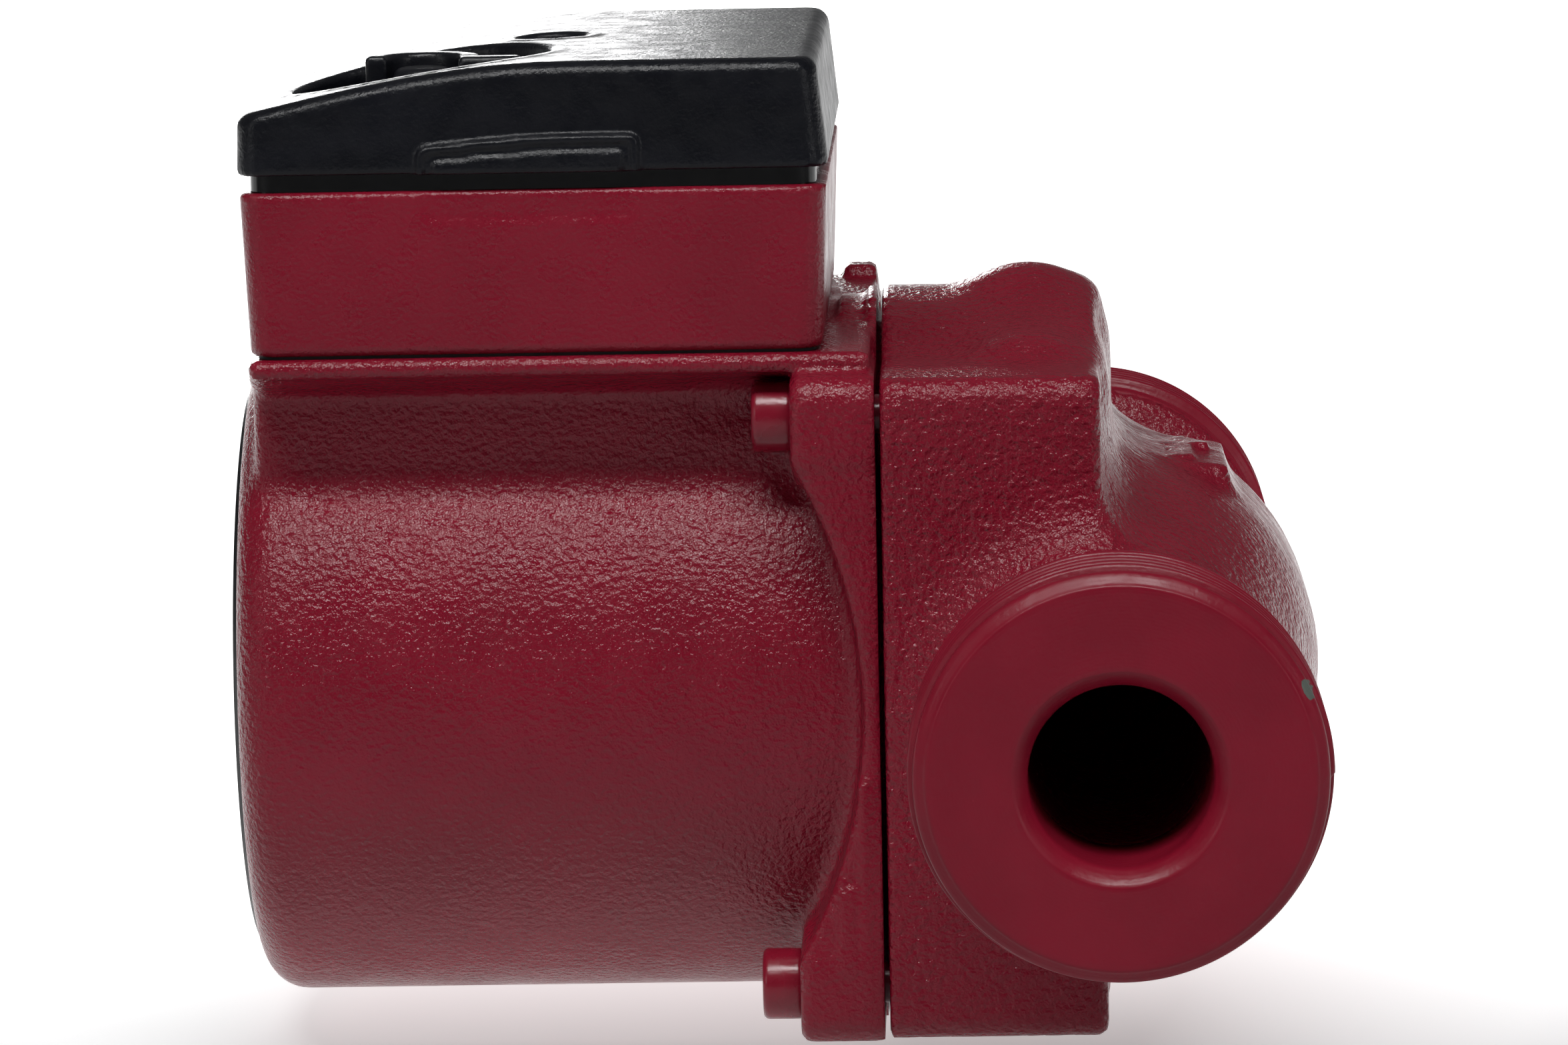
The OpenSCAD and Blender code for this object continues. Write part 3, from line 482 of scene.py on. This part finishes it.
# CAD nodes that keep their own shape, and the look each one gets
KEPT = {
    "neck_ring": "stainless", "impeller": "composite", "housing_gasket": "rubber_black",
    "shaft": "ceramic", "rotor_core": "laminations", "rotor_cladding": "stainless",
    "thrust_bearing": "carbon", "thrust_bearing_retainer": "rubber_black",
    "front_bearing": "ceramic", "rear_bearing": "ceramic", "bearing_plate": "stainless",
    "rotor_can": "stainless", "stator_core": "laminations", "windings": "winding_wire",
    "stator_leads": "lead_insulation", "nameplate": "black_plate", "vent_screw": "stainless",
    "vent_seal": "rubber_black", "box_seal": "rubber_black", "box_screws": "zinc_steel",
    "terminal_block": "terminal_plastic", "terminal_screws": "brass", "earth_screw": "brass",
    "capacitor": "capacitor_can", "speed_switch": "switch_plastic", "lid_seal": "rubber_black",
    "lid_screw": "stainless", "gland_body": "switch_plastic", "gland_seal": "rubber_black",
    "gland_nut": "switch_plastic", "terminal_carrier": "gloss_black",
}


def dress_kept_nodes():
    for node, look in KEPT.items():
        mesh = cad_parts[node].data
        mesh.materials.clear()
        mesh.materials.append(LOOK[look])


# ---------------------------------------------------------------- pump housing

# Both castings: the joint between them, the drum's back, their flanges, their screws and the grid
JOINT_X, BACK_X = -26.8, -0.9
DRUM_R = 45.2
FLANGE_Y, FLANGE_Z, FLANGE_CORNER = 45.5, 39.5, 3.0
SCREW_Y, SCREW_Z = 36.0, 34.2
CASTING_CELL = 0.7

# The pipe's belly, which ends BELLY_Y from the middle, its neck, reached at NECK_Y, and the cone's length
BELLY_R, NECK_R = 25.8, 16.4
BELLY_Y, NECK_Y = 9, 64
CONE = 4.5

# The threaded collars: length, bores, and the thread
COLLAR = 15.5
BORE_R, OUTLET_BORE_R = 10.4, 10.8
CREST_R, ROOT_R, THREAD_DEPTH, PITCH = 23.9, 22.42, 1.479, 2.309

# The dome on the drum with its ridge, and the pad with the arrow
DOME_X, DOME_Z, DOME_R = -9, 38.7, 9.2
RIDGE_Z, RIDGE_R = 33.5, 8.6
PAD_LOW, PAD_HIGH = (4.5, -11, 12), (15.1, 11, 24.0)

# The volute chamber, the motor's seat in front of it, the suction mouth and the way to the outlet
CHAMBER_FLOOR = JOINT_X + 13.3
CHAMBER_R, SEAT_R, SEAT_DEPTH = 36.5, 39.8, 2.2
SUCTION_R, WAY_R = 11.3, 6.2
WAY_Y = 45.0


def pipe_radius(y):
    """The pipe's belly, its swept neck and the cone up to the collar."""
    t = np.clip((np.abs(y) - BELLY_Y) / (NECK_Y - BELLY_Y), 0, 1)
    neck = NECK_R + (BELLY_R - NECK_R) * (0.5 + 0.5 * np.cos(math.pi * t))
    cone = smoothstep(HALF_SPAN - COLLAR - CONE, HALF_SPAN - COLLAR, np.abs(y))
    return neck + (ROOT_R - NECK_R) * cone


def casting_flange(g, low_x, high_x, edge):
    """The square flange that both castings have, between two planes."""
    plan = outline(slab(g.y, -FLANGE_Y, FLANGE_Y), slab(g.z, -FLANGE_Z, FLANGE_Z), FLANGE_CORNER)
    return outline(plan, slab(g.x, low_x, high_x), edge)


def flow_arrow(g):
    """An arrow along the flow, which stands up from the pad."""
    tip_y, back_y, head_y = 9, -9, 1
    across = np.abs(g.x - (PAD_LOW[0] + PAD_HIGH[0]) / 2)
    shaft = np.maximum(across - 1.3, slab(g.y, back_y, head_y))
    head = np.maximum(across * 0.9 + (g.y - tip_y) * 0.43, head_y - g.y)
    return np.maximum(np.minimum(shaft, head), slab(g.z, 20, 25.1))


def housing_waterway(g):
    """What is hollow in the pump housing: bores, chamber, seat, the way to the outlet, and screw holes."""
    hollow = rod_y(g, -80, 0, BORE_R)
    hollow = join(hollow, rod_y(g, WAY_Y, 80, OUTLET_BORE_R))
    hollow = join(hollow, ball(g, (0, 0, 0), BORE_R))
    hollow = join(hollow, rod_x(g, CHAMBER_FLOOR - 1, 0, SUCTION_R))
    hollow = join(hollow, rod_x(g, -40, CHAMBER_FLOOR, CHAMBER_R, r=1.0))
    hollow = join(hollow, rod_x(g, -40, JOINT_X + SEAT_DEPTH, SEAT_R))
    start, end = np.array([0.0, WAY_Y]), np.array([CHAMBER_FLOOR - 4, 25.0])
    run = end - start
    share = np.clip(((g.x - start[0]) * run[0] + (g.y - start[1]) * run[1]) / (run @ run), 0, 1)
    way = length(g.x - start[0] - share * run[0], g.y - start[1] - share * run[1], g.z) - WAY_R
    hollow = join(hollow, way)
    for sy, sz in CORNERS:
        hollow = join(hollow, rod_x(g, -40, JOINT_X + 12, 2.5, sy * SCREW_Y, sz * SCREW_Z))
    return hollow


def pump_housing():
    g = Grid((-27.8, -75.4, -46.4), (27.2, 75.4, 49.2), CASTING_CELL)
    beyond_joint = JOINT_X - 3
    drum = rod_x(g, beyond_joint, BACK_X, DRUM_R, r=1.6)
    solid = join(drum, casting_flange(g, beyond_joint, BACK_X, 1.3), 2.5)
    pipe = (length(g.x, g.z) - pipe_radius(g.y)) * 0.96
    pipe = np.maximum(pipe, np.abs(g.y) - (HALF_SPAN - COLLAR))
    solid = join(solid, pipe, 9.0)
    dome = ball(g, (DOME_X, 0, DOME_Z), DOME_R)
    ridge = outline(length(g.x - DOME_X, g.z - RIDGE_Z) - RIDGE_R, slab(g.y, -30, 0), 6.0)
    dome = join(dome, ridge, 5.0)
    solid = join(solid, dome, 4.0)
    solid = join(solid, block(g, PAD_LOW, PAD_HIGH, 0.9), 2.6)
    solid = solid + 0.014 * grain(g, 2.2, seed=11)
    parting_line = 0.30 * np.exp(-(g.z / 0.45) ** 2) * smoothstep(-22.0, -26.0, g.y)
    solid = solid - parting_line
    solid = join(solid, flow_arrow(g), 0.3)
    solid = np.maximum(solid, JOINT_X - g.x)
    solid = np.maximum(solid, np.abs(g.y) - (HALF_SPAN - COLLAR))
    solid = cut(solid, housing_waterway(g), 0.6)
    add_field("pump_housing_casting", g, solid, LOOK["painted_cast_iron"], "pump", "painted_cast_iron",
              ["pump_housing"])


def thread_radius(depth, turn):
    """Radius of the collar at a depth from its face, at a share of a turn: face chamfer, then the helix."""
    first_crest, chamfer_depth = 2.9, 1.6
    phase = (depth - first_crest - turn * PITCH) / PITCH
    wave = np.abs((phase + 0.5) % 1 - 0.5) * 2
    helix = CREST_R - THREAD_DEPTH * smoothstep(0.10, 0.92, wave)
    helix = np.where(phase < -0.45, ROOT_R + 0.9, helix)
    runout = smoothstep(COLLAR - 2.2, COLLAR - 0.9, depth)
    thread = helix * (1 - runout) + ROOT_R * runout
    chamfer = 21.8 + 1.5 * smoothstep(-0.1, 1.5, depth)
    lead_in = 23.3 + 0.6 * smoothstep(chamfer_depth, 3.0, depth)
    return np.where(depth < chamfer_depth, chamfer, np.minimum(thread, lead_in))


def port_collar(name, side, look):
    """A threaded collar with a flat face and a chamfered mouth. side is -1 at the inlet, 1 at the outlet."""
    steps = 240
    bore = BORE_R if side < 0 else OUTLET_BORE_R
    mouth_r, mouth_depth = 12.1, 1.8
    angle = np.linspace(0, 2 * math.pi, steps, endpoint=False)
    outer = np.concatenate([np.linspace(0, 1.6, 9), np.arange(1.75, COLLAR, 0.16), [COLLAR]])
    rings = []

    def ring(depth, radius):
        y = np.full(steps, side * (HALF_SPAN - depth))
        rings.append(np.stack([radius * np.cos(angle), y, radius * np.sin(angle)], axis=1))

    for radius in np.linspace(12.35, 21.45, 18):
        ring(0.0, radius)
    ring(0.03, 21.65)
    for depth in outer:
        ring(max(depth, 0.06), thread_radius(depth, angle / (2 * math.pi)))
    for radius in np.linspace(ROOT_R - 2, bore + 1, 6):
        ring(COLLAR, radius)
    for depth in np.linspace(COLLAR, 2.1, 12):
        ring(depth, bore)
    for share in (0.12, 0.5, 0.88):
        ring(mouth_depth * (1 - share), bore + (mouth_r - bore) * share)
    ring(0.05, mouth_r + 0.1)
    count = len(rings)
    i, j = np.meshgrid(np.arange(count), np.arange(steps), indexing="ij")
    next_i, next_j = (i + 1) % count, (j + 1) % steps
    corners = [i * steps + j, i * steps + next_j, next_i * steps + next_j, next_i * steps + j]
    quads = np.stack(corners, axis=-1).reshape(-1, 4)
    if side > 0:
        quads = quads[:, ::-1]
    add_mesh(name, np.concatenate(rings), quads, LOOK[look], "pump", "painted_cast_iron", ["pump_housing"])


# ---------------------------------------------------------------- motor casting

MOTOR_X = -27.4
BARREL_R, BARREL_BORE_R, BARREL_END_X = 40.75, 37.0, -104.0
END_WALL, NOSE_HOLE_R = 4.2, 10.0

# The flange is a thin plate from PLATE_X, with valleys between the four screw bosses from BOSS_X
BOSS_X, PLATE_X = -37.0, -29.4
BOSS_R, VALLEY_R = 9.0, 59.1
SPIGOT_R = 39.4

# The neck over the barrel, which flares out under the shelf for the box
NECK_HALF, NECK_FLARE = 31.6, 6.0
NECK_FRONT, NECK_BACK = -30.0, -101.6
SHELF_Z, SHELF_TOP = 40.0, 42.3
SHELF_X, SHELF_HALF = -101.0, 41.0

# The opening for the windings' leads, through the shelf and the box's floor
LEADS_LOW, LEADS_HIGH, LEADS_HALF = -41.8, -35.8, 10.0


def motor_flange(g):
    """The thin flange, its four screw bosses, a round rim at the joint and a step above the barrel."""
    past_joint = MOTOR_X + 5
    flange = casting_flange(g, BOSS_X, past_joint, 0.9)
    valley_x = PLATE_X - VALLEY_R
    valley = np.minimum(length(g.x - valley_x, g.z), length(g.x - valley_x, g.y)) - VALLEY_R
    plate = cut(flange, valley, 1.0)
    for sy, sz in CORNERS:
        boss = rod_x(g, BOSS_X, past_joint, BOSS_R, sy * (SCREW_Y + 2), sz * (SCREW_Z + 1), 0.9)
        plate = join(plate, np.maximum(boss, flange), 1.5)
    rim = rod_x(g, MOTOR_X - 1.25, past_joint, DRUM_R, r=0.5)
    collar = np.maximum(rod_x(g, -32.2, past_joint, 44.2, r=0.8), 24 - g.z)
    return join(join(plate, collar, 1.5), rim, 0.5)


def motor_hollow(g):
    """What is hollow in the motor casting: barrel, nose hole, screw holes and the leads' opening."""
    hollow = rod_x(g, BARREL_END_X + END_WALL, 0, BARREL_BORE_R, r=1.0)
    hollow = join(hollow, rod_x(g, -120, -90, NOSE_HOLE_R))
    for sy, sz in CORNERS:
        y, z = sy * SCREW_Y, sz * SCREW_Z
        hollow = join(hollow, rod_x(g, BOSS_X - 12, 0, 2.75, y, z))
        hollow = join(hollow, rod_x(g, BOSS_X - 12, BOSS_X, 4.75, y, z))
    return join(hollow, block(g, (LEADS_LOW, -LEADS_HALF, 31.0), (LEADS_HIGH, LEADS_HALF, 61.0)))


def stator_housing():
    g = Grid((-105.2, -46.6, -46.4), (-26.2, 46.6, 46.6), CASTING_CELL)
    barrel = rod_x(g, BARREL_END_X, 0, BARREL_R, r=5.0)
    solid = join(barrel, motor_flange(g), 2.5)
    neck_y = NECK_HALF + NECK_FLARE * smoothstep(35.5, SHELF_Z, g.z) ** 2
    neck = outline(np.abs(g.y) - neck_y, slab(g.z, 20.0, SHELF_Z + 1), 0.5)
    neck = outline(neck, slab(g.x, NECK_BACK, NECK_FRONT), 2.0)
    solid = join(solid, neck, 1.6)
    shelf_end = MOTOR_X - 0.5
    shelf = block(g, (SHELF_X, -SHELF_HALF, SHELF_Z), (shelf_end, SHELF_HALF, SHELF_TOP), 0.7)
    solid = join(solid, shelf, 1.0)
    strip = block(g, (-32.2, 36.0, SHELF_Z), (shelf_end, SHELF_HALF, SHELF_TOP + 1.6), 0.5)
    solid = join(solid, strip, 0.8)
    front_lugs = [((-30.0, -46.0, -36.0), (-29.0, -45.0, -8.0)),
                  ((-32.5, -46.0, -31.0), (-30.6, -45.0, -21.0))]
    for low, high in front_lugs:
        solid = join(solid, block(g, low, high, 0.4), 0.8)
    solid = solid + 0.008 * grain(g, 2.2, seed=21)
    solid = np.maximum(solid, g.x - MOTOR_X)
    solid = cut(solid, motor_hollow(g), 0.5)
    spigot = np.maximum(length(g.y, g.z) - SPIGOT_R, BARREL_BORE_R - length(g.y, g.z))
    solid = join(solid, np.maximum(spigot, slab(g.x, MOTOR_X - 1, JOINT_X)))
    add_field("stator_housing_casting", g, solid, LOOK["painted_aluminium"], "pump", "painted_aluminium",
              ["stator_housing"])


def housing_screws():
    """Four socket head screws in one mesh."""
    head_height, head_r, shank_r, shank_end = 5, 4.25, 2.45, -15.9
    vertices, quads = [], []
    for sy, sz in CORNERS:
        centre_y, centre_z = sy * SCREW_Y, sz * SCREW_Z
        g = Grid((-42.8, centre_y - 5, centre_z - 5), (-15.0, centre_y + 5, centre_z + 5), 0.3)
        y, z = g.y - centre_y, g.z - centre_z
        head = outline(length(y, z) - head_r, slab(g.x, BOSS_X - head_height, BOSS_X), 0.7)
        shank = outline(length(y, z) - shank_r, slab(g.x, BOSS_X - 1, shank_end), 0.4)
        solid = join(head, shank, 0.3)
        socket = np.maximum(hexagon(y, z, 2.0), slab(g.x, BOSS_X - 8, BOSS_X - 2.5))
        solid = cut(solid, socket, 0.25)
        screw_vertices, screw_quads = surface(g, solid)
        quads.append(screw_quads + sum(len(earlier) for earlier in vertices))
        vertices.append(screw_vertices)
    add_mesh("housing_screw_set", np.concatenate(vertices), np.concatenate(quads), LOOK["screw_paint"],
             "pump", "painted_aluminium", ["housing_screws"])


# ---------------------------------------------------------------- terminal box and lid

BOX_LEFT, BOX_RIGHT, BOX_Y = -101.7, -32.6, 40.0
BOX_FLOOR, BOX_RIM = 42.7, 62.0
WALL = 2.5
GLAND_X, GLAND_Z, GLAND_R = -52.0, 52.0, 8.1

# The clip on both long sides: a tab on the lid in a recess of the box
CLIP = (-80.5, -54.5)

# The lid falls from LID_TOP to LID_LOW at the motor's end
LID_Z, LID_TOP, LID_LOW = 64.1, 76.9, 71.4
FALL = 38.0
KNOB_X, KNOB_Y, KNOB_R = -81.0, -20.0, 15.4
KNOB_TOP, DISC_Z = 76.3, 68.0

# The lid's screw, its post in the box and its two holes in the lid
SCREW_X = -66.5
POST_R, POST_HOLE_R = 5.0, 2.05
HEAD_HOLE_R, SHANK_HOLE_R = 4.1, 2.4


def terminal_box():
    g = Grid((BOX_LEFT - 1, -BOX_Y - 1, BOX_FLOOR - 1), (BOX_RIGHT + 1, BOX_Y + 1, BOX_RIM + 1), 0.5)
    lean = 0.8 * (BOX_RIM - g.z) / (BOX_RIM - BOX_FLOOR)
    inner_floor = BOX_FLOOR + WALL

    def walls(inset, corner):
        mid, half = (BOX_LEFT + BOX_RIGHT) / 2, (BOX_RIGHT - BOX_LEFT) / 2
        return outline(np.abs(g.x - mid) - half + lean + inset, np.abs(g.y) - BOX_Y + inset, corner)

    solid = outline(walls(0, 3.0), slab(g.z, BOX_FLOOR, BOX_RIM), 0.45)
    recess = outline(slab(g.x, *CLIP), slab(g.z, BOX_RIM - 3.6, BOX_RIM + 5), 2.2)
    recess = np.maximum(recess, BOX_Y - 0.25 - np.abs(g.y))
    solid = cut(solid, recess, 0.3)
    solid = cut(solid, np.maximum(walls(WALL, 2.5), inner_floor - g.z), 0.4)
    solid = cut(solid, block(g, (LEADS_LOW, -LEADS_HALF, 40), (LEADS_HIGH, LEADS_HALF, 50)))
    solid = cut(solid, rod_y(g, BOX_Y - 5, BOX_Y + 5, GLAND_R, GLAND_X, GLAND_Z))
    post = rod_z(g, inner_floor - 0.5, inner_floor + 11, POST_R, SCREW_X, 0, 0.4)
    solid = join(solid, cut(post, rod_z(g, inner_floor + 2, 70, POST_HOLE_R, SCREW_X, 0)), 0.8)
    add_field("terminal_box_shell", g, solid, LOOK["box_paint"], "pump", "painted_aluminium",
              ["terminal_box"])


def lid_height(x):
    """The lid's top: flat, then falling away in an arc towards the motor's end."""
    start = BOX_LEFT + 1.2
    t = np.clip((x - start) / FALL, 0, 1)
    return LID_LOW + (LID_TOP - LID_LOW) * np.sin(math.pi / 2 * t)


def lid():
    g = Grid((BOX_LEFT - 1.2, -BOX_Y - 1.9, LID_Z - 0.9), (BOX_RIGHT + 1.2, BOX_Y + 1.9, LID_TOP + 0.9), 0.45)
    rise, height = g.z - LID_Z, LID_TOP - LID_Z
    lean = 1.3 * np.clip(rise / height, 0, 1)
    left = BOX_LEFT - 0.2 + 0.3 * rise / height

    def skin(inset, edge, corner):
        ends = np.maximum(left - g.x, g.x - (BOX_RIGHT + 0.3 - lean)) + inset
        sides = np.abs(g.y) - BOX_Y - 0.3 + inset + 0.05 * rise
        around = outline(ends, sides, corner)
        top = (g.z - lid_height(g.x)) * 0.97 + inset
        return outline(around, top, edge)

    def clip_edge():
        """The tab's outline from the side, under a top that slopes and bows."""
        run, full = g.x - CLIP[0], CLIP[1] - CLIP[0]
        tab_top = 67.1 + 1.2 * run / full + 0.5 * np.sin(math.pi * run / full)
        return outline(slab(g.x, *CLIP), g.z - tab_top, 1.0)

    def well(radius, x, y):
        """The wall around an opening in the lid, before the opening is cut."""
        return np.maximum(rod_z(g, 65.5, 80, radius, x, y), outer)

    outer = skin(0, 1.7, 3.0)
    solid = np.maximum(outer, LID_Z - g.z)
    edge = clip_edge()
    tab = outline(edge, np.abs(g.y) - BOX_Y - 1.0, 0.35)
    tab = np.maximum(np.maximum(tab, LID_Z - g.z), BOX_Y - 3 - np.abs(g.y))
    solid = join(solid, tab, 0.6)
    groove = np.maximum(np.abs(edge + 1.35) - 0.42, BOX_Y + 0.5 - np.abs(g.y))
    solid = cut(solid, groove, 0.5)
    inner = np.maximum(skin(2.2, 0.8, 2.0), LID_Z - 2 - g.z)
    solid = cut(solid, inner, 0.3)
    solid = join(solid, well(KNOB_R + 1.6, KNOB_X, KNOB_Y), 0.5)
    solid = cut(solid, rod_z(g, 60, 90, KNOB_R, KNOB_X, KNOB_Y), 0.9)
    solid = join(solid, well(5.7, SCREW_X, 0), 0.5)
    solid = cut(solid, rod_z(g, 71.5, 90, HEAD_HOLE_R, SCREW_X, 0), 0.8)
    solid = cut(solid, rod_z(g, 60, 90, SHANK_HOLE_R, SCREW_X, 0))
    add_field("lid_shell", g, solid, LOOK["lid_plastic"], "lid", "black_lid_plastic", ["lid"])


def speed_knob():
    """A disc on a spindle, with a hub and an S-shaped bar: a bow, a riser and a straight grip."""
    g = Grid((KNOB_X - 16, KNOB_Y - 16, 51.8), (KNOB_X + 16, KNOB_Y + 16, KNOB_TOP + 0.8), 0.4)
    x, y = g.x - KNOB_X, g.y - KNOB_Y
    bow_y, bow_r, bow_half = 0.5, 5.7, 1.3
    solid = rod_z(g, DISC_Z, DISC_Z + 1.6, KNOB_R - 0.45, KNOB_X, KNOB_Y, 0.5)
    solid = join(solid, rod_z(g, 52.5, DISC_Z + 0.5, 3.0, KNOB_X, KNOB_Y, 0.3), 1.0)
    bow = np.maximum(np.abs(length(x, y - bow_y) - bow_r) - bow_half, -(y - bow_y))
    grip = np.maximum(slab(x, 4.4, 12.0), slab(y, -2.8, -0.2))
    riser = np.maximum(slab(x, 4.4, 7.0), slab(y, -2.2, 0.6))
    bar = np.minimum(np.minimum(bow, grip), riser)
    bar = outline(bar, slab(g.z, DISC_Z, KNOB_TOP), 0.6)
    solid = join(solid, bar, 0.8)
    solid = join(solid, rod_z(g, DISC_Z, DISC_Z + 7.0, 3.6, KNOB_X, KNOB_Y, 1.2), 1.0)
    add_field("speed_knob_moulding", g, solid, LOOK["knob_plastic"], "speed_knob", "black_lid_plastic",
              ["speed_knob"])


# ---------------------------------------------------------------- studio, in metres

WHITE = (1, 1, 1, 1)
FLOOR_GAP, FLOOR_HALF = 0.0004, 40.0


def glow():
    """A surrounding light: bright low down behind the pump, and dim elsewhere."""
    world = bpy.data.worlds.new("studio")
    world.use_nodes = True
    tree = world.node_tree
    direction = tree.nodes.new("ShaderNodeTexCoord")
    parts = tree.nodes.new("ShaderNodeSeparateXYZ")
    tree.links.new(direction.outputs["Generated"], parts.inputs[0])

    def fade(socket, low, high, to_low, to_high):
        node = tree.nodes.new("ShaderNodeMapRange")
        node.interpolation_type = "SMOOTHSTEP"
        for name, value in (("From Min", low), ("From Max", high), ("To Min", to_low), ("To Max", to_high)):
            node.inputs[name].default_value = value
        tree.links.new(socket, node.inputs["Value"])
        return node.outputs["Result"]

    behind = fade(parts.outputs["Y"], -0.2, 0.6, 0.0, 1.0)
    low_down = fade(parts.outputs["Z"], 0.0, 0.12, 0.9, 0.06)
    everywhere = 0.05
    strength = tree.nodes.new("ShaderNodeMath")
    strength.operation = "MULTIPLY_ADD"
    tree.links.new(behind, strength.inputs[0])
    tree.links.new(low_down, strength.inputs[1])
    strength.inputs[2].default_value = everywhere
    tree.links.new(strength.outputs[0], tree.nodes["Background"].inputs["Strength"])
    tree.nodes["Background"].inputs["Color"].default_value = WHITE
    bpy.context.scene.world = world


def ground():
    """A pale floor just under the pump, grey in front and glowing white behind it."""
    z = CAD_BOX[0].z - FLOOR_GAP
    corners = [(-FLOOR_HALF, -FLOOR_HALF, z), (FLOOR_HALF, -FLOOR_HALF, z), (FLOOR_HALF, FLOOR_HALF, z),
               (-FLOOR_HALF, FLOOR_HALF, z)]
    mesh = bpy.data.meshes.new("floor")
    mesh.from_pydata(corners, [], [(0, 1, 2, 3)])
    n = Nodes("studio_floor")
    place = n.add("ShaderNodeSeparateXYZ")
    n.link(n.where, place.inputs[0])
    sweep = n.ramp(place.outputs["Y"], -0.02, 0.20, 0.05, 1.0)
    tone = n.mix(n.noise(300.0, 2.0), (0.84, 0.84, 0.84, 1), (0.90, 0.90, 0.90, 1))
    tone = n.mix(sweep, (0.56, 0.56, 0.57, 1), tone)
    n.finish(Base_Color=tone, Roughness=0.75, Emission_Color=WHITE, Emission_Strength=sweep)
    mesh.materials.append(n.material)
    floor = bpy.data.objects.new("floor", mesh)
    bpy.context.scene.collection.objects.link(floor)


def area_light(name, place, target, size, power):
    data = bpy.data.lights.new(name, "AREA")
    data.shape = "RECTANGLE"
    data.size, data.size_y = size
    data.energy = power
    lamp = bpy.data.objects.new(name, data)
    lamp.location = place
    lamp.rotation_euler = (Vector(target) - Vector(place)).to_track_quat("-Z", "Y").to_euler()
    bpy.context.scene.collection.objects.link(lamp)


def lights():
    """A strip above that draws the barrel's highlight, a key on each side, and a window behind."""
    aim = (-0.04, MIDDLE_Y, 0.0)
    area_light("top_strip", (-0.05, MIDDLE_Y - 0.48, 0.78), aim, size=(0.8, 0.16), power=6.6)
    area_light("key_left", (-1.1, MIDDLE_Y - 0.80, 0.40), aim, size=(0.4, 0.6), power=1.3)
    area_light("key_right", (1.1, MIDDLE_Y - 0.80, 0.40), aim, size=(0.4, 0.6), power=1.4)
    area_light("back_window", (-0.43, MIDDLE_Y + 1.7, 0.24), aim, size=(0.6, 0.30), power=7)


def camera():
    """The viewing angle: just left of the pump's middle, slightly above it, looking along the pipe."""
    yaw, pitch, roll = (math.radians(angle) for angle in (1.587, -8.499, 1.156))
    place = Vector((-0.0155, MIDDLE_Y - 0.864, 0.1453))
    turn = Matrix.Rotation(yaw, 3, "Z") @ Matrix.Rotation(pitch, 3, "X") @ Matrix.Rotation(roll, 3, "Y")
    right, forward, up = turn.col[0], turn.col[1], turn.col[2]
    data = bpy.data.cameras.new("camera")
    data.sensor_width = 36.0
    data.lens = 162.4
    data.clip_start, data.clip_end = 0.05, 200
    view = bpy.data.objects.new("camera", data)
    basis = Matrix((right, up, -forward)).transposed()
    view.matrix_world = Matrix.Translation(place) @ basis.to_4x4()
    bpy.context.scene.collection.objects.link(view)
    bpy.context.scene.camera = view
    bpy.context.scene.view_settings.view_transform = "Standard"


dress_kept_nodes()
pump_housing()
port_collar("inlet_collar", -1, "inlet_paint")
port_collar("outlet_collar", 1, "outlet_paint")
stator_housing()
housing_screws()
terminal_box()
lid()
speed_knob()
glow()
ground()
lights()
camera()
